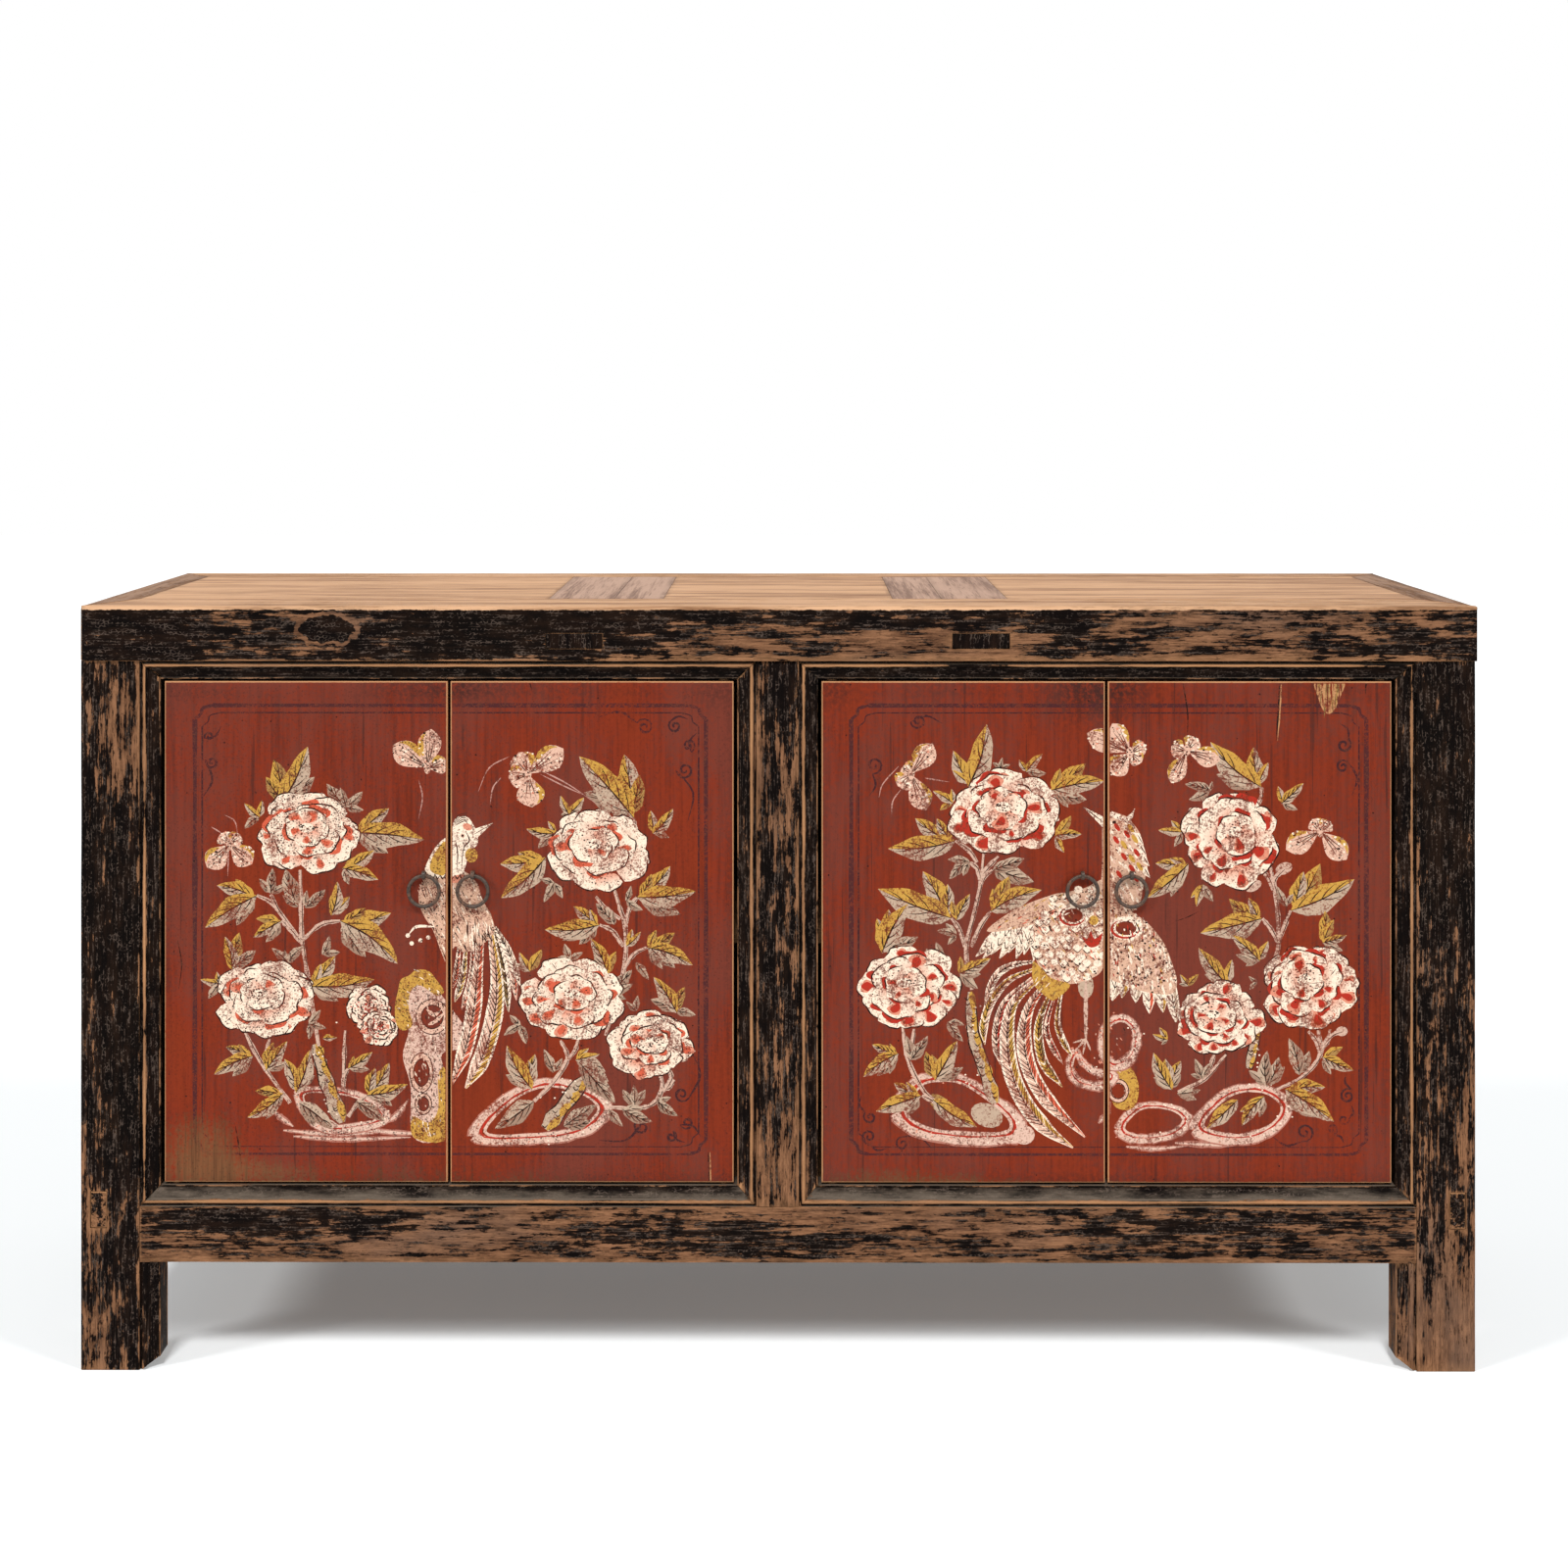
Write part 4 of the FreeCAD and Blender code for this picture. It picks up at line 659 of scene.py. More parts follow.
PHOTO_MIDDLE = 794.6
PHOTO_FOOT = 1395.65
PIXEL = 1.1272 * MM
ANY_TURN = 6.3
LEAST_AREA = 0.02
WING_BREADTH = 1.2
BUD_BREADTH = 1.15
WIDE_SPLIT = 2.2
LARGE_LEAF = 26


class Pigment:
    """A paint: its colour, how well it covers the red, and how many specks show in it."""

    def __init__(self, red, green, blue, cover, specks):
        self.values = np.array(screen(red, green, blue)[:3] + (cover, specks))


BARE = Pigment(140, 60, 45, 0.0, 0.2)
CREAM = Pigment(244, 221, 197, 0.98, 0.9)
CREAM_ROOT = Pigment(222, 180, 157, 0.92, 0.9)
PLUMAGE = Pigment(209, 168, 142, 0.95, 1.0)
CORAL = Pigment(204, 92, 66, 0.95, 0.5)
CORAL_WASH = Pigment(216, 140, 114, 0.92, 0.75)
CRIMSON = Pigment(172, 46, 34, 0.97, 0.4)
OCHRE = Pigment(194, 149, 68, 0.93, 0.7)
OCHRE_DULL = Pigment(164, 128, 74, 0.88, 0.75)
OLIVE = Pigment(116, 92, 56, 0.92, 0.7)
LEAF_GREY = Pigment(188, 164, 141, 0.9, 0.75)
LEAF_DULL = Pigment(158, 132, 112, 0.85, 0.75)
STEM = Pigment(206, 172, 152, 0.9, 0.5)
GROUND_PINK = Pigment(218, 182, 163, 0.92, 0.8)
GROUND_FAINT = Pigment(196, 138, 120, 0.6, 0.6)
INK = Pigment(26, 20, 18, 0.97, 0.0)
THIN_INK = Pigment(44, 32, 28, 0.88, 0.0)
BORDER = Pigment(54, 30, 34, 0.94, 0.2)
BORDER_FAINT = Pigment(60, 33, 37, 0.84, 0.2)
FEELER = Pigment(206, 160, 146, 0.7, 0.2)
SPLIT_WOOD = Pigment(182, 132, 90, 0.95, 0.4)
CRACK = Pigment(34, 20, 18, 1.0, 0.0)


def smooth_path(points, steps=5):
    """Places along a smooth line through the points."""
    given = np.asarray(points, float)
    padded = np.vstack([2 * given[0] - given[1], given, 2 * given[-1] - given[-2]])
    share = np.linspace(0, 1, steps, endpoint=False)[:, None]
    spans = []
    for a, b, c, d in zip(padded, padded[1:], padded[2:], padded[3:]):
        bend = (2 * a - 5 * b + 4 * c - d) * share ** 2 + (3 * b - 3 * c + d - a) * share ** 3
        spans.append(b + ((c - a) * share + bend) / 2)
    return np.vstack(spans + [given[-1:]])


def smooth_ring(points, steps=5):
    """Places round a smooth closed line through the points."""
    given = np.asarray(points, float)
    path = smooth_path(np.vstack([given[-2:], given, given[:2]]), steps)
    return path[2 * steps:(2 + len(given)) * steps]


def sideways(path):
    """Unit vectors square to a path."""
    ahead = np.gradient(path, axis=0)
    ahead /= np.linalg.norm(ahead, axis=1)[:, None] + 1e-9
    return np.column_stack([ahead[:, 1], -ahead[:, 0]])


def area(outline):
    x, y = outline[:, 0], outline[:, 1]
    return 0.5 * float(np.sum(x * np.roll(y, -1) - y * np.roll(x, -1)))


def heading(turn):
    return np.array((math.cos(turn), math.sin(turn)))


def box(corner, far_corner):
    """The outline of an upright box between two corners."""
    return np.array((corner, (far_corner[0], corner[1]), far_corner, (corner[0], far_corner[1])), float)


def within(place, outline):
    """Whether a place lies inside an outline."""
    outline = np.asarray(outline, float)
    following = np.roll(outline, -1, axis=0)
    spans = (outline[:, 1] > place[1]) != (following[:, 1] > place[1])
    start, end = outline[spans], following[spans]
    share = (place[1] - start[:, 1]) / (end[:, 1] - start[:, 1])
    crossings = start[:, 0] + share * (end[:, 0] - start[:, 0])
    return bool(np.sum(crossings > place[0]) % 2)


class Painting:
    """Shapes painted across a pair of doors, the later ones over the earlier."""

    def __init__(self, seed):
        self.chance = np.random.default_rng(seed)
        self.shapes = []

    def patch(self, outline, pigment, far=None, ends=None):
        """A filled outline. Between its ends, its pigment may pass into a far one."""
        outline = np.asarray(outline, float)
        if abs(area(outline)) < LEAST_AREA:
            return
        if area(outline) > 0:
            outline = outline[::-1]
        self.shapes.append((outline, pigment, far, ends))

    def blob(self, points, pigment):
        self.patch(smooth_ring(points), pigment)

    def oval(self, centre, reach, pigment, turn=0.0, count=14):
        around = np.linspace(0, 2 * math.pi, count, endpoint=False)
        places = np.outer(np.cos(around) * reach[0], heading(turn))
        places += np.outer(np.sin(around) * reach[1], heading(turn + math.pi / 2))
        self.patch(np.array(centre) + places, pigment)

    def ribbon(self, path, widths, pigment):
        """A run of quads along a path, of these half widths."""
        square = sideways(path) * np.asarray(widths)[:, None]
        left, right = path + square, path - square
        for here in range(len(path) - 1):
            quad = np.array([left[here], left[here + 1], right[here + 1], right[here]])
            first, second = quad[[0, 1, 2]], quad[[0, 2, 3]]
            if area(first) * area(second) > 0:
                self.patch(quad, pigment)
            else:
                self.patch(first, pigment)
                self.patch(second, pigment)

    def stroke(self, points, width, pigment, steps=4, start=0.3, end=0.15):
        """A brush line through the points, thinner at its two ends."""
        path = smooth_path(points, steps)
        along = np.linspace(0, 1, len(path))
        swell = np.minimum(start + (1 - start) * along / 0.25, end + (1 - end) * (1 - along) / 0.4)
        shake = self.chance.uniform(0.75, 1.2, len(path))
        self.ribbon(path, np.minimum(1, swell) * shake * width / 2, pigment)

    def band(self, points, width, pigment, steps=6):
        """An even line round a closed path."""
        path = smooth_ring(points, steps)
        closed = np.vstack([path, path[:1]])
        self.ribbon(closed, self.chance.uniform(0.82, 1.15, len(closed)) * width / 2, pigment)

    def dots(self, centre, reach, count, size, pigment):
        for _ in range(count):
            spread = self.chance.normal(0, 0.45, 2) * reach
            self.oval(np.array(centre) + spread, (size, size * 0.8), pigment, count=6)

    def places_in(self, outline, count):
        """About this many places scattered over an outline's box, those that lie inside the outline."""
        outline = np.asarray(outline, float)
        places = self.chance.uniform(outline.min(0), outline.max(0), (count, 2))
        return [place for place in places if within(place, outline)]

    def ticks(self, outline, count, run, width, pigments):
        """Short scattered brush marks inside an outline, in turn of these pigments."""
        for number, place in enumerate(self.places_in(outline, count)):
            way = np.array(run) * self.chance.uniform(0.6, 1.2) + self.chance.normal(0, 0.6, 2)
            pigment = pigments[number % len(pigments)]
            self.stroke([place - way / 2, place + way / 2], width, pigment, steps=2)

    def specks(self, outline, count, size, pigments):
        """Small scattered dots inside an outline, in turn of these pigments."""
        for number, place in enumerate(self.places_in(outline, count)):
            reach = size * self.chance.uniform(0.6, 1.3)
            self.oval(place, (reach, reach * 0.8), pigments[number % len(pigments)], count=6)

    def scales(self, outline, spacing, tone):
        """Rows of small feathers inside an outline: pale drops, each edged below in ink."""
        outline = np.asarray(outline, float)
        low, high = outline.min(0), outline.max(0)
        for row, y in enumerate(np.arange(low[1], high[1], spacing * 0.75)):
            for x in np.arange(low[0] + spacing / 2 * (row % 2), high[0], spacing):
                place = np.array((x, y)) + self.chance.normal(0, 0.12, 2) * spacing
                if not within(place, outline):
                    continue
                across, down = np.array((spacing * 0.45, 0)), np.array((0, spacing * 0.42))
                self.oval(place, (spacing * 0.42, spacing * 0.36), tone, count=8)
                if self.chance.random() < 0.4:
                    self.stroke([place - across, place + down, place + across], 1.1, THIN_INK, steps=2)

    def leaflet(self, base, tip, share_wide, upper, lower):
        """A pointed leaf with a wavy edge, one tone above its rib and one below, with veins in ink."""
        base, tip = np.array(base, float), np.array(tip, float)
        run = tip - base
        length = float(np.hypot(*run))
        side = np.array((run[1], -run[0])) / length
        if side @ (-0.35, -1.0) < 0:
            side = -side
        along = np.linspace(0, 1, 12)
        bend = self.chance.uniform(-0.07, 0.07) * length
        rib = base + run * along[:, None] + side * (bend * np.sin(math.pi * along))[:, None]
        reach = length * share_wide * np.sin(math.pi * along ** 0.8) ** 0.85
        for pigment, way in ((upper, 1), (lower, -1)):
            waves = 1 + 0.1 * np.sin(along * 12 + self.chance.uniform(0, ANY_TURN))
            edge = rib + side * (way * reach * waves)[:, None]
            self.patch(np.vstack([rib, edge[-2:0:-1]]), pigment)
        self.stroke(rib[[0, 3, 6, 10]], min(1.7, 0.7 + length * 0.018), INK)
        large = length > LARGE_LEAF
        for start in (1, 3, 5, 7) if large else (2,):
            for way in (1, -1):
                if self.chance.random() < 0.15:
                    continue
                out = rib[start + 3] + side * way * reach[start + 3] * 0.78
                middle = (rib[start] * 0.55 + out * 0.45) + side * way * reach[start + 1] * 0.1
                self.stroke([rib[start], middle, out], 1.1 if large else 0.8, INK, steps=2)

    def leaf_cluster(self, base, tip, ochre_tips, grey_tips):
        """A lobed leaf: a long leaflet in two tones over shorter ones, ochre above and grey below."""
        base, tip = np.array(base, float), np.array(tip, float)
        for lobe in ochre_tips:
            upper, lower = (OCHRE, OCHRE_DULL) if self.chance.random() < 0.35 else (OCHRE, LEAF_GREY)
            self.leaflet(base + (tip - base) * 0.06, lobe, 0.215, upper, lower)
        for lobe in grey_tips:
            self.leaflet(base + (tip - base) * 0.06, lobe, 0.215, LEAF_GREY, LEAF_DULL)
        upper, lower = (OCHRE, LEAF_GREY) if ochre_tips else (LEAF_GREY, LEAF_DULL)
        self.leaflet(base, tip, 0.185, upper, lower)

    def petal(self, middle, way, reach, root_tone, blush, halo):
        """A cupped petal that opens this way, with ink on its lip and maybe a blush behind the lip."""
        across = np.array((-way[1], way[0]))
        ripple = self.chance.uniform(0, ANY_TURN)

        def edge(turn, scale=1.0):
            swell = scale * (1 + 0.07 * np.sin(5 * turn + ripple) + 0.04 * np.sin(9 * turn + 2 * ripple))
            out = np.outer(np.cos(turn) * 0.9 * swell, way)
            aside = np.outer(np.sin(turn) * 1.12 * swell, across)
            return middle + (out + aside) * reach
        if halo:
            about, half = self.chance.uniform(-0.4, 0.4), self.chance.uniform(0.35, 0.85)
            lip = np.linspace(about - half, about + half, 9)
            fade = np.cos(np.linspace(-math.pi / 2, math.pi / 2, len(lip))) ** 0.6
            thick = self.chance.uniform(0.24, 0.5)
            self.patch(np.vstack([edge(lip, 1 + thick * fade), edge(lip[::-1], 0.8)]), blush)
        around = np.linspace(0, 2 * math.pi, 18, endpoint=False)
        ends = (middle - way * reach * 0.8, middle + way * reach * 0.35)
        self.patch(edge(around), root_tone, CREAM, ends)
        low = self.chance.uniform(-95, -30)
        high = self.chance.uniform(20, 95)
        self.stroke(edge(np.radians(np.linspace(low, high, 6))), 1.6, INK, steps=2)
        if self.chance.random() < 0.35:
            lean = self.chance.uniform(-0.5, 0.5)
            self.stroke([middle, middle + (way * 0.6 + across * lean) * reach], 1.0, THIN_INK, steps=2)

    def blotch(self, root, way, reach, pigment):
        """A drop of colour at the root of a petal, pointed towards the heart."""
        across = np.array((-way[1], way[0]))
        drop = ((-0.8, 0.0), (-0.2, 0.42), (0.5, 0.62), (0.85, 0.1), (0.55, -0.5), (-0.15, -0.4))
        shape = np.array(drop) * self.chance.uniform(0.7, 1.25, (len(drop), 2))
        self.blob(root + (np.outer(shape[:, 0], way) + np.outer(shape[:, 1], across)) * reach, pigment)

    def peony(self, centre, reach, blush, wash, strength):
        """A full peony: rings of cupped petals, lower ones over upper ones, round a dotted heart."""
        centre, reach = np.array(centre, float), np.array(reach, float)
        heart = centre - reach * (self.chance.uniform(-0.12, 0.12), 0.14)
        between = (centre + heart) / 2
        for count, ring, size, about, blushing in (
                (11, 0.74, 0.28, centre, 0.0),
                (8, 0.48, 0.27, between, 1.0),
                (5, 0.22, 0.24, heart, 0.9)):
            turns = self.chance.uniform(0, ANY_TURN) + 2 * math.pi * np.arange(count) / count
            turns += self.chance.uniform(-0.2, 0.2, count)
            for turn in sorted(turns, key=math.sin):
                way = heading(turn)
                scale = size * self.chance.uniform(0.78, 1.28)
                middle = about + way * reach * (ring + self.chance.uniform(-0.08, 0.06))
                root_tone = wash if self.chance.random() < strength * 0.8 else CREAM_ROOT
                halo = self.chance.random() < blushing * strength * (1.1 if way[1] > -0.2 else 0.65)
                self.petal(middle, way, reach * scale, root_tone, blush, halo)
                if self.chance.random() < strength * (0.85 if way[1] > -0.1 else 0.45):
                    root = middle + way * reach * scale * 0.14
                    spread = reach * scale * self.chance.uniform(0.34, 0.6)
                    self.blotch(root, way, spread * 1.45, wash)
                    self.blotch(root, way, spread, blush)
        self.oval(heart, reach * (0.15, 0.12), CREAM)
        self.dots(heart, reach * 0.26, 16, 1.1, INK)
        self.dots(centre, reach * 0.9, 34, 0.9, INK)

    def wing(self, body, tip, width):
        """A butterfly's wing: a pale mottled field, ochre along a part of its upper edge."""
        body, tip = np.array(body, float), np.array(tip, float)
        run = tip - body
        side = np.array((run[1], -run[0])) / np.hypot(*run)
        if side[1] > 0:
            side = -side
        along = np.linspace(0, 1, 11)
        reach = width * np.sin(math.pi * along ** 1.5) ** 0.8
        spine = body + run * along[:, None]
        square = side * reach[:, None]
        outline = np.vstack([spine + square, (spine - square)[::-1]])
        self.patch(outline, CREAM_ROOT)
        upper = spine + square * 0.78
        self.stroke(upper[3:10], width * 0.42, OCHRE, steps=2)
        self.specks(outline, 34, 1.3, (CREAM, CREAM, LEAF_DULL, INK, CREAM, CORAL_WASH))
        for lean in (-0.4, 0.0, 0.4):
            self.stroke([body, body + run * 0.78 + side * width * lean], 1.0, THIN_INK)

    def butterfly(self, body, wings, feelers):
        for line in feelers:
            self.stroke(line, 1.3, FEELER)
        for tip, width in wings:
            self.wing(body, tip, width * WING_BREADTH)
        self.oval(body, (3.4, 6.0), CREAM_ROOT)
        self.dots(body, np.array((3, 5)), 5, 0.9, INK)

    def plume(self, points, width, field_tone, edge_tone, barbs):
        """A long feather: pale outside, toned along its middle and one edge, with slanting barbs."""
        path = smooth_path(points, 7)
        along = np.linspace(0, 1, len(path))
        reach = width / 2 * np.minimum(1, 0.35 + along * 1.5) * np.minimum(1, (1 - along) * 4.5 + 0.1)
        side = sideways(path)
        self.ribbon(path, reach, CREAM)
        self.ribbon(path, reach * 0.72, field_tone)
        self.ribbon(path + side * (reach * 0.5)[:, None], reach * 0.26, edge_tone)
        self.stroke(path[::4], 1.2, INK, steps=2)
        ahead = np.column_stack([-side[:, 1], side[:, 0]])
        length = float(np.sum(np.hypot(*np.diff(path, axis=0).T)))
        for number, share in enumerate(np.linspace(0.08, 0.97, int(length * barbs))):
            here = int(share * (len(path) - 1))
            for way in (1, -1):
                out = path[here] + (side[here] * way * 0.98 - ahead[here] * 1.5) * reach[here]
                pigment = CREAM if number % 5 == 4 else INK
                self.stroke([path[here], out], 1.15, pigment, steps=1, start=0.9, end=0.5)

    def trunk(self, points, width):
        """A knotted trunk with an uneven outline, ochre along parts of one side."""
        path = smooth_path(points, 6)
        along = np.linspace(0, 1, len(path))
        reach = width / 2 * (0.75 + 0.3 * along) * self.chance.uniform(0.8, 1.2, len(path))
        reach *= np.minimum(1, 0.45 + along * 5) * np.minimum(1, 0.5 + (1 - along) * 5)
        side = sideways(path)
        square = side * reach[:, None]
        self.patch(np.vstack([path + square, (path - square)[::-1]]), LEAF_GREY)
        lit = path + side * (reach * 0.5)[:, None]
        for here in range(0, len(path) - 3, 3):
            self.stroke(lit[here:here + 4], width * 0.5, OCHRE, steps=2)
        for way in (1, -1):
            self.stroke((path + side * (reach * way)[:, None])[::2], 1.5, INK, steps=2)
        for here in range(1, len(path) - 1):
            knot = path[here] + self.chance.uniform(-0.32, 0.32, 2) * width
            self.stroke([knot - (3, 0), knot + (0, 2.5), knot + (3, -0.5)], 1.3, INK, steps=3)
        self.dots(path[len(path) // 2], np.ptp(path, axis=0) * 0.6, 10, 1.1, CREAM)

    def ground(self, points, width):
        """A pale closed loop of ground, broader below, with a red line inside it."""
        path = smooth_ring(points, 6)
        closed = np.vstack([path, path[:1]])
        middle = path.mean(0)
        low = np.clip((closed[:, 1] - middle[1]) / (np.ptp(path[:, 1]) / 2), -1, 1)
        shake = self.chance.uniform(0.8, 1.15, len(closed)) * (1 + 0.25 * low) / 2
        self.ribbon(closed, shake * width * 1.2, GROUND_FAINT)
        self.ribbon(closed, shake * width * 0.9, GROUND_PINK)
        inner = middle + (closed - middle) * 0.9
        self.ribbon(inner, self.chance.uniform(0.3, 1.2, len(closed)) * width * 0.2, CRIMSON)
        self.ribbon(middle + (closed - middle) * 0.84, shake * width * 0.3, GROUND_PINK)
        for place in path[::2]:
            tone = CREAM if place[0] > middle[0] else CORAL_WASH
            self.dots(place, np.array((width, width)) * 0.6, 2, 1.0, tone)

    def pierced_ring(self, centre, reach, width):
        """A hole in a rock, in a pale ring between lines of ink."""
        around = [np.array(centre) + np.array(reach) * heading(turn) for turn in np.linspace(0, 5.5, 8)]
        self.oval(centre, reach, BARE)
        self.band(around, width, CREAM_ROOT)
        for scale in (0.8, 1.2):
            self.band(np.array(centre) + (np.array(around) - centre) * scale, 1.1, THIN_INK)

    def scroll(self, centre, size, turns, start, way, tail):
        """A spiral scroll of the border, with a wavy tail to a place."""
        angle = np.linspace(0, turns * 2 * math.pi, int(turns * 12))
        radius = size * (0.15 + 0.85 * angle / angle[-1])
        spun = start + way * angle
        places = np.array(centre) + np.column_stack([np.cos(spun), np.sin(spun)]) * radius[:, None]
        self.stroke(places, 2.6, BORDER, steps=1, start=0.6, end=0.7)
        run = np.array(tail) - places[-1]
        bow = places[-1] + run / 2 + np.array((run[1], -run[0])) * 0.22 * way
        self.stroke([places[-1], bow, tail], 2.3, BORDER)

    def even_line(self, points, width, pigment):
        self.stroke(points, width, pigment, start=0.9, end=0.9)

    def line_border(self, left, right, scrolls):
        """A faded double line round a pair of doors, notched at its corners, with scrolls inside it."""
        for inset, width, pigment in ((0.0, 5.0, BORDER_FAINT), (7.5, 1.8, BORDER)):
            top, foot = BORDER_TOP + inset, BORDER_FOOT - inset
            for side, inward in ((left + inset, 1), (right - inset, -1)):
                upright = [(side, foot - NOTCH), (side, (top + foot) / 2), (side, top + NOTCH)]
                self.even_line(upright, width, pigment)
                for level, down in ((top, 1), (foot, -1)):
                    notch = [(side, level + down * NOTCH), (side + inward * 6, level + down * 9),
                             (side + inward * 8, level + down * 3), (side + inward * NOTCH_RUN, level)]
                    self.even_line(notch, width * 0.7, pigment)
            start, end = left + inset + NOTCH_RUN, right - inset - NOTCH_RUN
            for level, share in ((top, 0.9), (foot, 0.55)):
                line = [(start, level), ((left + right) / 2, level), (end, level)]
                self.even_line(line, width * share, pigment)
        for scroll in scrolls:
            self.scroll(*scroll)

    def growth(self, stems, leaves, peonies, blush, wash, strength):
        """Stems, then leaves over them, then the peonies."""
        for stem in stems:
            self.stroke(stem, 4.6, STEM, steps=5, start=0.6, end=0.8)
            self.stroke(np.array(stem) + (1.2, 0.4), 1.0, THIN_INK, steps=5)
        for cluster in leaves:
            self.leaf_cluster(*cluster)
        for centre, reach in peonies:
            self.peony(centre, reach, blush, wash, strength)

    def split(self, points, width):
        """A crack in a board, a wide one with bare wood on one side of it."""
        if width > WIDE_SPLIT:
            self.stroke(np.array(points) + (1.5, 0), width * 0.7, SPLIT_WOOD)
        self.stroke(points, width * 0.8, CRACK)


BORDER_TOP = 720.0
BORDER_FOOT = 1178.0
NOTCH = 14.0
NOTCH_RUN = 18
LEFT_BORDER = (199.5, 721.5)
RIGHT_BORDER = (869.7, 1395.0)
LEFT_SCROLLS = (
    ((217, 778), 7, 1.4, 1.0, 1, (206, 816)), ((214, 752), 5, 1.2, 4.0, -1, (226, 742)),
    ((659, 742), 9, 1.5, 0.5, -1, (612, 732)), ((690, 741), 7, 1.3, 2.0, 1, (703, 734)),
    ((704, 761), 7, 1.4, 5.0, 1, (712, 748)), ((700, 786), 9, 1.5, 0.0, 1, (703, 838)),
    ((697, 1117), 8, 1.4, 3.0, -1, (706, 1072)), ((702, 1146), 7, 1.3, 1.0, 1, (716, 1160)),
    ((656, 1150), 9, 1.4, 2.6, 1, (612, 1164)), ((686, 1160), 6, 1.2, 0.0, -1, (700, 1166)))
RIGHT_SCROLLS = (
    ((893, 781), 9, 1.4, 5.5, 1, (888, 812)), ((938, 736), 8, 1.4, 0.5, 1, (962, 738)),
    ((889, 1140), 7, 1.3, 2.0, 1, (880, 1118)), ((888, 1160), 8, 1.4, 4.0, -1, (906, 1172)),
    ((922, 1167), 7, 1.2, 3.0, 1, (952, 1172)), ((1372, 760), 8, 1.3, 1.0, -1, (1368, 738)),
    ((1371, 782), 7, 1.4, 3.0, 1, (1380, 812)), ((1376, 1118), 8, 1.5, 2.0, 1, (1374, 1096)),
    ((1372, 1142), 6, 1.2, 1.0, -1, (1380, 1128)), ((1332, 1155), 10, 1.5, 5.0, 1, (1300, 1160)),
    ((1360, 1152), 6, 1.2, 0.0, 1, (1372, 1166)))

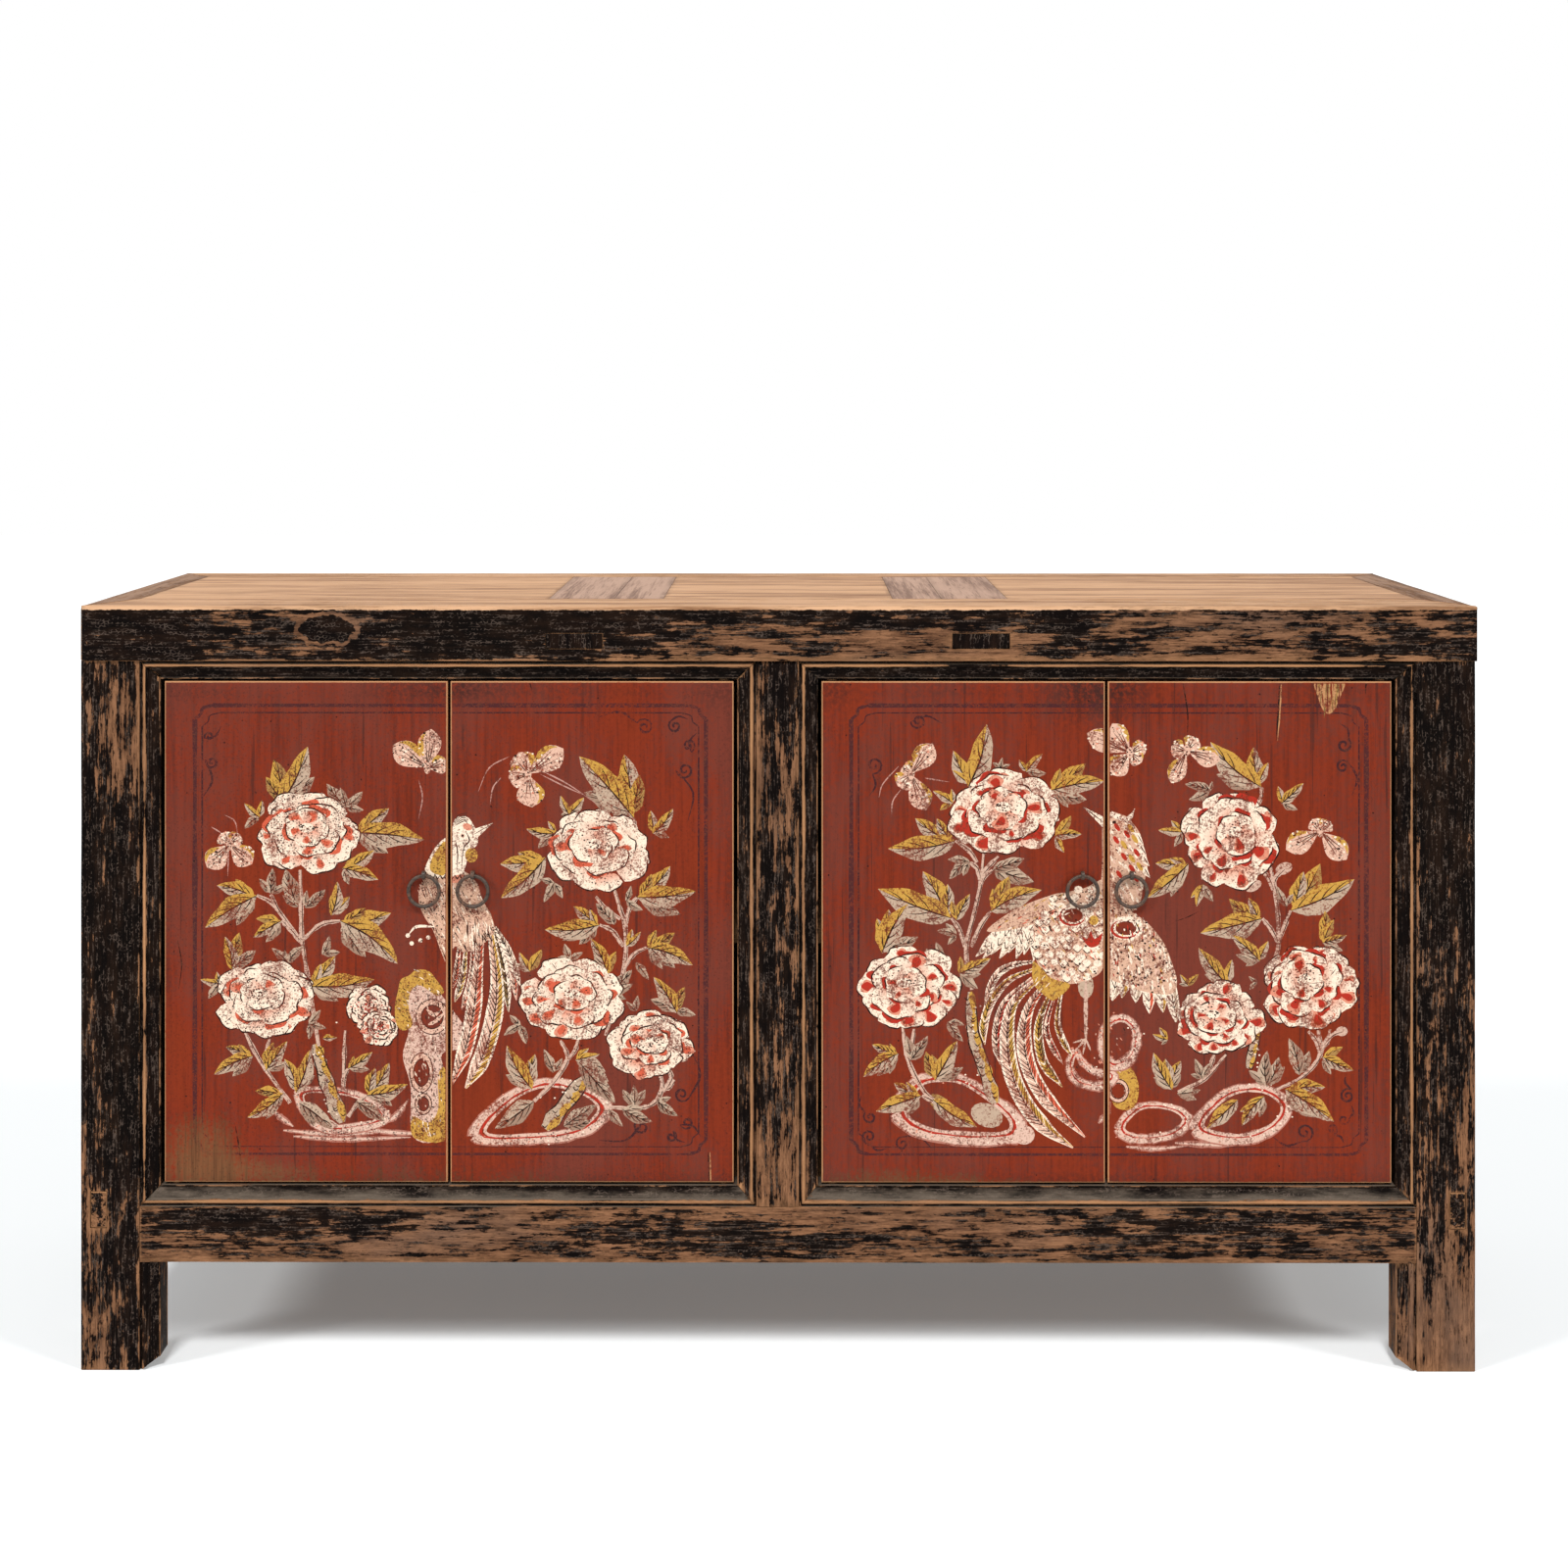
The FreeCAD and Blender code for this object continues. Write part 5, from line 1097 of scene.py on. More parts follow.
LEFT_LEAVES = (
    ((288, 821), (315, 762), ((280, 775), (272, 793)), ((322, 793), (317, 810))),
    ((354, 825), (348, 804), (), ((371, 808), (372, 827), (334, 800))),
    ((266, 835), (250, 820), ((268, 817),), ((250, 846),)),
    ((363, 850), (434, 857), ((398, 825), (378, 831)), ((397, 871), (380, 866))),
    ((350, 886), (387, 898), ((383, 868),), ((357, 903),)),
    ((263, 914), (210, 947), ((241, 897), (222, 904)), ((242, 945), (252, 930))),
    ((277, 913), (279, 886), (), ((265, 897), (294, 903))),
    ((305, 926), (289, 914), (), ((292, 887),)),
    ((312, 927), (333, 908), (), ((314, 909),)),
    ((339, 935), (345, 900), ((358, 915),), ()),
    ((348, 940), (407, 984), ((400, 932), (374, 927)), ((374, 977), (356, 962))),
    ((288, 940), (259, 957), ((262, 938),), ((272, 962),)),
    ((330, 975), (337, 955), (), ((348, 972),)),
    ((238, 990), (230, 956), ((245, 952),), ((262, 970),)),
    ((296, 984), (278, 968), (), ((291, 970), (310, 966))),
    ((316, 1007), (383, 1000), ((343, 976), (328, 984)), ((346, 1022), (334, 1018))),
    ((226, 1004), (205, 1000), ((222, 992),), ((213, 1020),)),
    ((315, 1045), (334, 1050), (), ((328, 1031), (316, 1061))),
    ((259, 1078), (219, 1097), ((231, 1069), (244, 1066)), ((238, 1099),)),
    ((272, 1093), (294, 1063), ((280, 1064),), ((295, 1085),)),
    ((303, 1116), (317, 1072), ((291, 1081),), ((322, 1098),)),
    ((330, 1060), (345, 1059), ((338, 1056),), ()),
    ((290, 1116), (253, 1141), ((261, 1114),), ((272, 1143),)),
    ((356, 1091), (381, 1074), ((362, 1078),), ((378, 1092),)),
    ((375, 1118), (417, 1107), ((398, 1085), (384, 1090)), ((401, 1129),)),
    ((306, 1126), (341, 1153), (), ((322, 1150),)),
    ((364, 1124), (394, 1145), (), ()),
    ((648, 835), (592, 772), ((638, 770), (654, 791)), ((597, 809), (618, 822))),
    ((582, 832), (573, 812), ((597, 814),), ((573, 832),)),
    ((569, 851), (538, 846), ((560, 838),), ((550, 866),)),
    ((558, 875), (512, 917), ((529, 870), (511, 882)), ((543, 906), (530, 904))),
    ((567, 900), (556, 921), (), ((552, 897), (575, 917))),
    ((667, 851), (688, 825), ((665, 827),), ((684, 855),)),
    ((651, 916), (711, 910), ((685, 884), (666, 892)), ((695, 933), (676, 926))),
    ((613, 944), (557, 949), ((586, 925), (603, 928)), ((592, 964), (575, 960))),
    ((628, 944), (626, 929), (), ((609, 922),)),
    ((640, 920), (645, 904), (), ((657, 929),)),
    ((661, 967), (708, 985), ((671, 949), (690, 952)), ((677, 989), (690, 988))),
    ((640, 966), (655, 951), ((646, 948),), ()),
    ((650, 982), (663, 1000), (), ()),
    ((621, 996), (604, 958), ((630, 971),), ((612, 964),)),
    ((584, 980), (570, 977), (), ((577, 963), (596, 972))),
    ((542, 992), (531, 972), ((554, 969),), ((526, 984),)),
    ((625, 1013), (647, 1004), (), ((646, 990), (640, 1020))),
    ((692, 1034), (668, 997), ((700, 1007),), ((665, 1020), (711, 1036))),
    ((651, 1032), (640, 1022), (), ((652, 1016),)),
    ((533, 1046), (515, 1057), (), ((521, 1036), (538, 1066))),
    ((544, 1112), (518, 1067), ((547, 1076), (540, 1082)), ((517, 1097),)),
    ((566, 1095), (556, 1071), (), ((575, 1080),)),
    ((588, 1082), (613, 1076), ((602, 1070),), ((619, 1094), (606, 1092))),
    ((592, 1084), (629, 1126), (), ((622, 1104),)),
    ((649, 1130), (648, 1107), (), ((660, 1112), (636, 1112))),
    ((636, 1132), (667, 1145), (), ((658, 1132),)),
    ((622, 1132), (637, 1150), (), ()),
    ((671, 1122), (693, 1139), (), ((686, 1120),)),
    ((546, 1124), (506, 1152), (), ((520, 1132),)),
    ((576, 1150), (610, 1128), (), ((604, 1144),)),
)
LEFT_STEMS = (
    ((307, 888), (308, 925), (309, 960), (314, 992), (326, 1068)), ((263, 914), (280, 924), (306, 958)),
    ((348, 940), (328, 944), (309, 960)), ((288, 940), (296, 948), (308, 962)),
    ((277, 913), (284, 928), (298, 948)), ((250, 1052), (260, 1072), (272, 1092), (297, 1126)),
    ((276, 1060), (272, 1078), (272, 1092)), ((353, 1052), (352, 1084), (351, 1112)),
    ((356, 1091), (352, 1100), (351, 1112)), ((306, 1124), (330, 1140), (345, 1150)),
    ((375, 1118), (366, 1126), (356, 1140)),
    ((628, 908), (634, 928), (639, 945), (638, 988), (619, 1057)), ((651, 916), (644, 926), (639, 945)),
    ((613, 944), (626, 950), (637, 966)), ((661, 967), (648, 974), (638, 988)),
    ((609, 915), (618, 926), (634, 938)), ((573, 1062), (580, 1080), (567, 1103), (546, 1124)),
    ((592, 1058), (588, 1072), (580, 1082)),
    ((674, 1094), (677, 1110), (668, 1126), (651, 1131), (622, 1130)),
    ((689, 1102), (684, 1110), (677, 1112)), ((683, 1090), (686, 1100), (678, 1114)),
    ((648, 835), (648, 845), (644, 856)))
LEFT_PEONIES = (((316, 851), (52, 42)), ((272, 1020), (51, 40)), ((613, 868), (56, 46)),
                ((582, 1020), (54, 42)), ((663, 1067), (45, 35)))

RIGHT_LEAVES = (
    ((989, 803), (1008, 739), ((974, 766), (973, 786)), ((1010, 772), (1006, 788))),
    ((1022, 786), (1024, 773), (), ((1014, 778), (1032, 780))),
    ((1048, 788), (1065, 769), ((1041, 775),), ((1069, 789),)),
    ((1072, 807), (1128, 797), ((1109, 779), (1083, 784)), ((1091, 824), (1110, 816))),
    ((1077, 853), (1105, 851), ((1094, 832), (1087, 870)), ()),
    ((974, 820), (953, 807), ((972, 805), (960, 827)), ()),
    ((976, 858), (907, 866), ((935, 835), (957, 835)), ((947, 876), (930, 872))),
    ((991, 880), (968, 877), (), ((970, 897), (984, 894))),
    ((1014, 888), (1047, 876), (), ((1056, 900), (1032, 902))),
    ((972, 937), (897, 907), ((943, 889), (968, 902)), ((955, 941), (926, 934))),
    ((1012, 930), (1064, 908), ((1031, 894), (1014, 906)), ((1044, 924),)),
    ((977, 939), (991, 912), ((972, 919),), ()),
    ((901, 973), (928, 922), ((896, 937), (908, 928)), ((938, 956), (926, 962))),
    ((978, 954), (957, 950), (), ((966, 942), (968, 964))),
    ((979, 994), (1012, 978), ((981, 976),), ((999, 1009), (1002, 994))),
    ((962, 984), (956, 961), (), ((965, 973), (946, 968))),
    ((968, 1042), (984, 1063), (), ((985, 1046),)),
    ((918, 1075), (882, 1099), ((909, 1065), (891, 1066)), ((909, 1096), (896, 1098))),
    ((930, 1082), (948, 1057), (), ((926, 1057), (944, 1074))),
    ((955, 1103), (978, 1062), ((946, 1073), (952, 1076)), ((984, 1089), (976, 1092))),
    ((941, 1118), (895, 1134), ((913, 1105), (926, 1104)), ((926, 1138), (912, 1136))),
    ((953, 1122), (998, 1150), ((968, 1122),), ((976, 1146),)),
    ((1288, 803), (1236, 757), ((1280, 762), (1295, 778)), ((1242, 790), (1262, 798))),
    ((1308, 820), (1331, 799), ((1305, 802),), ((1325, 826), (1322, 814))),
    ((1237, 807), (1210, 800), (), ((1238, 797), (1214, 816))),
    ((1208, 849), (1183, 847), ((1196, 837),), ((1199, 864),)),
    ((1214, 881), (1172, 916), ((1180, 881), (1194, 876)), ((1196, 915), (1188, 910))),
    ((1229, 902), (1222, 925), ((1216, 916),), ((1239, 920),)),
    ((1318, 929), (1383, 897), ((1348, 881), (1331, 889)), ((1359, 923), (1346, 926))),
    ((1289, 937), (1226, 952), ((1255, 917), (1275, 916)), ((1266, 955), (1246, 956))),
    ((1314, 925), (1304, 904), (), ((1321, 912),)),
    ((1350, 962), (1375, 954), ((1353, 929), (1362, 938)), ((1371, 970),)),
    ((1254, 1006), (1224, 967), ((1258, 979),), ((1230, 994),)),
    ((1287, 981), (1258, 954), ((1295, 960),), ((1272, 986), (1262, 974))),
    ((1284, 1002), (1275, 996), (), ((1276, 1010),)),
    ((1214, 1006), (1205, 994), ((1224, 994),), ((1204, 1004),)),
    ((1193, 1061), (1177, 1055), ((1184, 1048),), ((1186, 1066),)),
    ((1197, 1112), (1178, 1074), ((1206, 1082), (1190, 1080)), ((1178, 1099), (1206, 1096))),
    ((1228, 1101), (1220, 1080), (), ((1237, 1084), (1216, 1096))),
    ((1202, 1116), (1226, 1112), (), ((1222, 1122),)),
    ((1294, 1109), (1294, 1072), (), ((1312, 1088), (1275, 1092), (1306, 1078))),
    ((1327, 1097), (1316, 1059), (), ((1337, 1072), (1334, 1084))),
    ((1350, 1078), (1382, 1092), ((1371, 1068), (1362, 1070)), ((1359, 1096),)),
    ((1312, 1111), (1362, 1144), ((1336, 1103), (1353, 1109)), ((1329, 1136), (1346, 1140))),
    ((1291, 1118), (1268, 1149), ((1266, 1134),), ((1286, 1140),)),
    ((1264, 1122), (1232, 1152), ((1246, 1128),), ()),
)
RIGHT_STEMS = (
    ((1005, 868), (1002, 900), (996, 929), (987, 969), (993, 1010)),
    ((976, 858), (990, 868), (998, 880)), ((972, 937), (980, 948), (986, 966)),
    ((1012, 930), (1002, 944), (992, 966)), ((991, 880), (998, 886), (1001, 898)),
    ((1014, 888), (1006, 894), (1002, 902)), ((1020, 874), (1010, 884), (1003, 892)),
    ((922, 1048), (928, 1082), (943, 1112), (956, 1124)), ((934, 1050), (932, 1066), (930, 1080)),
    ((942, 1118), (950, 1122), (958, 1128)), ((1296, 878), (1303, 916), (1306, 960), (1300, 985)),
    ((1311, 886), (1302, 896), (1300, 905)), ((1318, 929), (1312, 944), (1306, 960)),
    ((1289, 937), (1298, 948), (1305, 962)), ((1286, 884), (1294, 894), (1300, 908)),
    ((1346, 1050), (1348, 1076), (1329, 1099), (1302, 1112)),
    ((1358, 1050), (1356, 1062), (1348, 1072)), ((1336, 1052), (1344, 1062), (1348, 1076)),
    ((1370, 1052), (1360, 1056), (1350, 1066)), ((1252, 1076), (1230, 1101), (1203, 1114)),
    ((1240, 1076), (1236, 1088), (1230, 1100)), ((1288, 803), (1288, 812), (1284, 822)))
RIGHT_PEONIES = (((1026, 830), (58, 46)), ((930, 1009), (53, 43)), ((1257, 856), (51, 51)),
                 ((1243, 1040), (46, 38)), ((1337, 1006), (49, 47)))

LEFT_GROUNDS = (
    (((303, 1117), (330, 1112), (372, 1120), (396, 1142), (360, 1152), (326, 1150)), 7),
    (((484, 1160), (516, 1122), (557, 1104), (600, 1112), (622, 1132), (596, 1155), (540, 1163)), 9))
LEFT_SMEARS = (
    ((290, 1154), (345, 1158), (410, 1154)), ((300, 1160), (350, 1163), (420, 1161)),
    ((350, 1150), (400, 1156), (452, 1158)), ((396, 1146), (408, 1136), (418, 1122)),
    ((300, 1150), (284, 1138), (276, 1126)))
LEFT_TRUNKS = (
    (((322, 1066), (334, 1104), (350, 1146)), 15), (((598, 1100), (580, 1124), (557, 1152)), 17))
LEFT_BUDS = (((378, 1029), (21, 20)), ((388, 1050), (17, 16)))
LEFT_BUTTERFLIES = (
    ((437, 784), (((402, 760), 11), ((441, 744), 10), ((458, 778), 8)),
     (((428, 796), (432, 814), (428, 836)),)),
    ((235, 862), (((212, 886), 10), ((258, 882), 10), ((226, 851), 7), ((246, 852), 7)),
     (((234, 868), (233, 895)), ((243, 850), (240, 838), (230, 832)), ((226, 850), (216, 844)))),
    ((540, 790), (((576, 764), 11), ((544, 824), 12), ((530, 768), 11), ((520, 794), 10)),
     (((521, 772), (500, 784), (489, 808)), ((512, 794), (504, 804), (501, 822)),
      ((552, 790), (576, 802), (598, 812)), ((552, 786), (580, 800), (612, 822)))))
LEFT_SPLITS = ((((241, 1150), (246, 1180), (249, 1210)), 2.0), (((724, 1176), (725, 1212)), 2.4),
               (((182, 960), (186, 985), (183, 1010)), 1.6), (((541, 694), (544, 706)), 1.6))

STANDING_PLUMES = (
    (((470, 960), (467, 990), (462, 1010)), 6, CREAM_ROOT, CORAL),
    (((477, 962), (473, 998), (465, 1023)), 7, LEAF_GREY, OCHRE),
    (((483, 964), (482, 998), (472, 1031)), 7, CREAM_ROOT, CORAL),
    (((506, 950), (516, 992), (520, 1033)), 8, OLIVE, CREAM),
    (((506, 948), (522, 984), (528, 1021)), 7, CREAM_ROOT, CORAL),
    (((506, 946), (520, 972), (532, 1006)), 8, CREAM, LEAF_GREY),
    (((492, 956), (488, 994), (484, 1033), (476, 1070), (462, 1107)), 16, CREAM_ROOT, CORAL),
    (((502, 954), (508, 1003), (504, 1043), (492, 1082), (476, 1111)), 18, CREAM_ROOT, OCHRE))
STANDING_BODY = (
    (438, 890), (431, 902), (428, 918), (433, 934), (443, 950), (452, 974), (458, 984), (465, 966),
    (474, 972), (490, 966), (505, 952), (502, 934), (493, 918), (488, 902), (476, 890), (456, 886))
STANDING_CAPE = (
    (456, 855), (446, 864), (438, 878), (435, 889), (446, 896), (458, 895), (470, 893), (470, 868),
    (466, 854))
STANDING_GOLD = ((455, 859), (447, 867), (441, 878), (440, 888), (448, 893), (455, 892), (457, 874))
STANDING_HEAD = (
    (463, 842), (468, 834), (478, 834), (484, 842), (488, 852), (488, 862), (480, 870), (476, 884),
    (472, 892), (466, 880), (463, 860))
STANDING_BEAK = ((482, 847), (504, 840), (486, 857))
STANDING_BEAK_LINE = ((484, 852), (503, 841))
STANDING_THROAT = (482, 873)
STANDING_CHEEK = (478, 844)
STANDING_EYE = (473, 853)
STANDING_NAPE = ((476, 848), (480, 858), (474, 866), (472, 888))
STANDING_NECK = ((466, 858), (468, 872), (467, 890))
STANDING_BREAST = (468, 897)
STANDING_FLANK = ((474, 940), (506, 968))
COLLAR_STARTS = range(440, 472, 5)
COLLAR_TOP = 893
COLLAR_FOOT = 897
STANDING_CREST = (472, 838)
STANDING_CLAW = ((444, 946), (426, 946), (417, 955))
STANDING_TOES = ((417, 955), (421, 963), (430, 960), (438, 957))

LEFT_ROCK_CAP = (
    (407, 1012), (410, 1000), (418, 996), (426, 990), (438, 991), (446, 1000), (454, 1012), (446, 1016),
    (430, 1006), (420, 1012), (418, 1030), (422, 1046), (412, 1052), (405, 1044), (404, 1026))
LEFT_ROCK_BODY = (
    (416, 1008), (430, 1002), (446, 1010), (462, 1030), (476, 1052), (470, 1070), (452, 1076),
    (454, 1100), (450, 1160), (422, 1160), (420, 1110), (412, 1078), (418, 1052), (412, 1034))
LEFT_ROCK_FOOT = (
    (448, 1098), (456, 1094), (459, 1160), (424, 1162), (422, 1140), (438, 1146), (448, 1132))
LEFT_ROCK_HOLES = (((442, 1038), (14, 15), 5.0), ((431, 1095), (10, 17), 4.5), ((433, 1127), (7, 9), 4.0))
LEFT_ROCK_CURL = (((436, 1030), (444, 1036), (452, 1030)), ((438, 1046), (446, 1042), (456, 1032)))


def begin_pair(seed, border, scrolls, smears, smear_widths, grounds, trunks):
    """A painting with its border, and the ground and the trunks that the flowers grow from."""
    painting = Painting(seed)
    painting.line_border(*border, scrolls)
    for line in smears:
        for width, pigment in zip(smear_widths, (GROUND_FAINT, GROUND_PINK)):
            painting.stroke(line, width, pigment, steps=6)
    for points, width in grounds:
        painting.ground(points, width)
    for points, width in trunks:
        painting.trunk(points, width)
    return painting


def end_pair(painting, butterflies, splits):
    """Butterflies over the rest of a painting, then the cracks in the boards."""
    for butterfly in butterflies:
        painting.butterfly(*butterfly)
    for points, width in splits:
        painting.split(points, width)


def paint_left_pair():
    """A standing bird and a pierced rock among peonies, with butterflies."""
    painting = begin_pair(11, LEFT_BORDER, LEFT_SCROLLS, LEFT_SMEARS, (6.5, 3.0),
                          LEFT_GROUNDS, LEFT_TRUNKS)
    painting.growth(LEFT_STEMS, LEFT_LEAVES, LEFT_PEONIES, CORAL, CORAL_WASH, 0.62)
    for centre, reach in LEFT_BUDS:
        painting.peony(centre, np.array(reach) * BUD_BREADTH, CORAL_WASH, CORAL_WASH, 0.3)
        painting.dots(np.array(centre) - (3, 0), np.array(reach) * 0.8, 34, 1.0, CRIMSON)
    paint_left_rock(painting)
    paint_standing_bird(painting)
    end_pair(painting, LEFT_BUTTERFLIES, LEFT_SPLITS)
    return painting


def paint_left_rock(painting):
    """The pierced rock that the bird stands on."""
    painting.blob(LEFT_ROCK_BODY, GROUND_PINK)
    painting.blob(LEFT_ROCK_CAP, OCHRE)
    painting.blob(LEFT_ROCK_FOOT, OCHRE)
    for centre, reach, width in LEFT_ROCK_HOLES:
        painting.pierced_ring(centre, reach, width)
    for line in LEFT_ROCK_CURL:
        painting.stroke(line, 3.6, CREAM_ROOT)
    painting.ticks(LEFT_ROCK_BODY, 220, (1, 5), 1.5, (THIN_INK, CREAM, LEAF_DULL, CREAM_ROOT, LEAF_GREY))
    painting.ticks(LEFT_ROCK_CAP, 60, (4, 2), 1.3, (OCHRE_DULL, INK, CREAM))
    painting.ticks(LEFT_ROCK_FOOT, 40, (1, 5), 1.3, (OCHRE_DULL, CREAM, OLIVE))


def paint_standing_bird(painting):
    """The standing long-tailed bird, its plumes hanging to the ground."""
    for points, width, tone, edge in STANDING_PLUMES:
        painting.plume(points, width, tone, edge, 0.34)
    painting.blob(STANDING_BODY, PLUMAGE)
    painting.ticks(STANDING_BODY, 300, (4, 8), 1.3, (CREAM, THIN_INK, CREAM, LEAF_DULL, CREAM_ROOT, INK))
    painting.ticks(box(*STANDING_FLANK), 40, (1, 12), 1.6, (CREAM, CREAM_ROOT, THIN_INK))
    painting.blob(STANDING_CAPE, CREAM)
    painting.blob(STANDING_GOLD, OCHRE)
    painting.blob(STANDING_HEAD, CREAM)
    painting.patch(STANDING_BEAK, CREAM)
    painting.stroke(STANDING_BEAK_LINE, 0.9, THIN_INK)
    painting.oval(STANDING_THROAT, (6.5, 7.5), OCHRE)
    painting.oval(STANDING_CHEEK, (5, 3.5), CORAL_WASH, 0.4)
    painting.oval(STANDING_BREAST, (9, 4), CORAL_WASH, -0.2)
    crest = np.array(STANDING_CREST)
    for lean in np.linspace(-1.0, 1.0, 5):
        start, bow, end = (-7, 3 + lean * 2), (lean * 3, lean * 3 - 3), (7, lean * 6 - 2)
        painting.stroke([crest + start, crest + bow, crest + end], 0.9, THIN_INK)
    painting.oval(STANDING_EYE, (2.6, 2.2), CREAM_ROOT, 0, 8)
    painting.oval(STANDING_EYE, (1.4, 1.4), INK, 0, 8)
    painting.stroke(STANDING_NAPE, 1.4, INK)
    painting.stroke(STANDING_NECK, 1.2, THIN_INK)
    for x in COLLAR_STARTS:
        painting.stroke([(x, COLLAR_TOP), (x + 2.5, COLLAR_FOOT), (x + 5, COLLAR_TOP)], 1.8, INK, steps=2)
    painting.stroke(STANDING_CLAW, 2.6, CREAM)
    for toe in STANDING_TOES:
        painting.oval(toe, (2.3, 2.3), CREAM, 0, 8)


RIGHT_GROUNDS = (
    (((915, 1136), (934, 1104), (960, 1098), (985, 1102), (1014, 1120), (1042, 1146), (1030, 1162),
      (950, 1158)), 10),
    (((1142, 1152), (1158, 1132), (1178, 1127), (1204, 1132), (1214, 1144), (1196, 1158), (1160, 1162)),
     8),
    (((1220, 1152), (1240, 1124), (1266, 1110), (1298, 1112), (1316, 1130), (1300, 1152), (1262, 1163)),
     9))
RIGHT_SMEARS = (((950, 1164), (1000, 1167), (1046, 1162)), ((1150, 1170), (1180, 1172), (1212, 1169)),
                ((1200, 1166), (1240, 1168), (1270, 1166)), ((1122, 1146), (1130, 1136), (1134, 1124)))
RIGHT_TRUNKS = (
    (((991, 1012), (994, 1054), (1004, 1086), (1017, 1126)), 14),
    (((1286, 1042), (1281, 1064), (1275, 1090)), 9))
RIGHT_STONES = (
    ((1008, 1138), (17, 12), 0.4, LEAF_GREY), ((1046, 1158), (11, 10), 0.0, GROUND_PINK),
    ((962, 1128), (16, 8), 0.7, OCHRE_DULL), ((1311, 886), (9, 6), -0.4, STEM),
    ((1280, 904), (9, 5), -0.5, STEM), ((1370, 1052), (6, 5), 0.0, STEM))
RIGHT_BUTTERFLIES = (
    ((931, 790), (((953, 759), 10), ((946, 827), 10), ((921, 784), 10), ((917, 802), 9)),
     (((918, 782), (902, 800), (898, 814)), ((920, 806), (912, 818), (911, 834)),
      ((945, 794), (970, 798)))),
    ((1154, 768),
     (((1110, 748), 10), ((1134, 790), 10), ((1136, 738), 8), ((1170, 760), 7), ((1166, 778), 7)), ()),
    ((1212, 766), (((1246, 776), 9), ((1196, 799), 8), ((1221, 752), 8), ((1196, 762), 8)), ()),
    ((1348, 848), (((1313, 867), 10), ((1375, 877), 10), ((1340, 836), 7), ((1358, 838), 7)), ()))
RIGHT_SPLITS = (
    (((1208, 696), (1213, 730), (1212, 756)), 1.7), (((1307, 694), (1305, 730), (1303, 756)), 2.4),
    (((1395, 694), (1394, 708)), 1.8), (((1200, 940), (1212, 936), (1224, 930)), 1.2))
BARE_CHIP = ((1343, 694), (1372, 694), (1368, 712), (1360, 727), (1352, 726), (1346, 712))

TAIL_PLUMES = (
    (((1056, 981), (1031, 986), (1015, 1000), (1005, 1033)), 8, CREAM_ROOT, CREAM),
    (((1056, 989), (1031, 1000), (1013, 1021), (1005, 1046), (1006, 1066)), 9, OCHRE, CREAM_ROOT),
    (((1054, 998), (1028, 1021), (1019, 1046), (1018, 1067), (1022, 1086)), 9, CREAM_ROOT, CRIMSON),
    (((1072, 1014), (1061, 1046), (1065, 1082), (1085, 1109)), 10, OCHRE, OLIVE),
    (((1078, 1014), (1069, 1046), (1074, 1066), (1086, 1086)), 6, CREAM_ROOT, CRIMSON),
    (((1085, 1008), (1080, 1040), (1085, 1060), (1095, 1078)), 7, OCHRE, CREAM),
    (((1058, 1000), (1035, 1024), (1029, 1055), (1032, 1090), (1046, 1124), (1068, 1151), (1096, 1171)),
     17, CREAM_ROOT, OCHRE),
    (((1068, 1004), (1051, 1029), (1046, 1060), (1052, 1092), (1071, 1124), (1108, 1160)), 16,
     CREAM_ROOT, CORAL))
LEFT_WING_ROOT = (1080, 930)
LEFT_WING_TIPS = (
    (997, 976), (1004, 978), (1012, 974), (1021, 978), (1030, 972), (1038, 978), (1046, 974),
    (1056, 980))
PHOENIX_SHOULDER = (
    (1008, 950), (1030, 932), (1050, 922), (1066, 916), (1084, 911), (1100, 914), (1092, 932),
    (1066, 940), (1036, 948))
PHOENIX_BODY = (
    (1060, 920), (1084, 912), (1108, 906), (1132, 900), (1134, 960), (1128, 984), (1119, 996),
    (1094, 1004), (1071, 998), (1058, 978), (1056, 950))
TAIL_ROOT = (
    (1055, 982), (1062, 986), (1074, 998), (1093, 1005), (1078, 1020), (1070, 1018), (1056, 1004))
RIGHT_WING = (
    (1128, 924), (1152, 929), (1166, 937), (1178, 948), (1189, 963), (1196, 980), (1202, 1001),
    (1196, 1014), (1170, 1012), (1146, 1004), (1130, 990))
RIGHT_WING_ROOT = (1140, 976.0)
RIGHT_WING_STEP = 5.2
RIGHT_WING_EDGES = (LEAF_GREY, OCHRE, CORAL)
RIGHT_WING_TIPS = (
    (1136, 1021), (1146, 1018), (1153, 1008), (1160, 1023), (1167, 1012), (1174, 1034), (1181, 1018),
    (1188, 1033), (1195, 1026), (1201, 1043))
PHOENIX_NECK = (
    (1128, 832), (1148, 832), (1157, 840), (1164, 850), (1167, 860), (1170, 870), (1172, 884),
    (1168, 902), (1160, 928), (1126, 934), (1126, 880))
NECK_FEATHERS = ((1158, 846), (1165, 856), (1168, 867), (1171, 878), (1172, 890))
PHOENIX_BEAK = ((1106, 823), (1132, 836), (1130, 848))
PHOENIX_HORN = ((1134, 830), (1148, 836), (1154, 834), (1159, 825))
WING_EYES = (((1096, 934), (11, 8)), ((1150, 947), (12, 8)))
PHOENIX_JAW = (1131, 842)
PHOENIX_EYE = (1138, 839)
PHOENIX_HEART = (
    (1104, 954), (1110, 958), (1114, 950), (1118, 958), (1126, 952), (1122, 964), (1112, 966))
PHOENIX_BREAST = (1117, 939)
PHOENIX_THIGH = (1109, 1006)
PHOENIX_LEG = ((1109, 1000), (1109, 1030), (1109, 1060))
PHOENIX_CLAWS = ((1100, 1070), (1106, 1076), (1114, 1072), (1096, 1064))
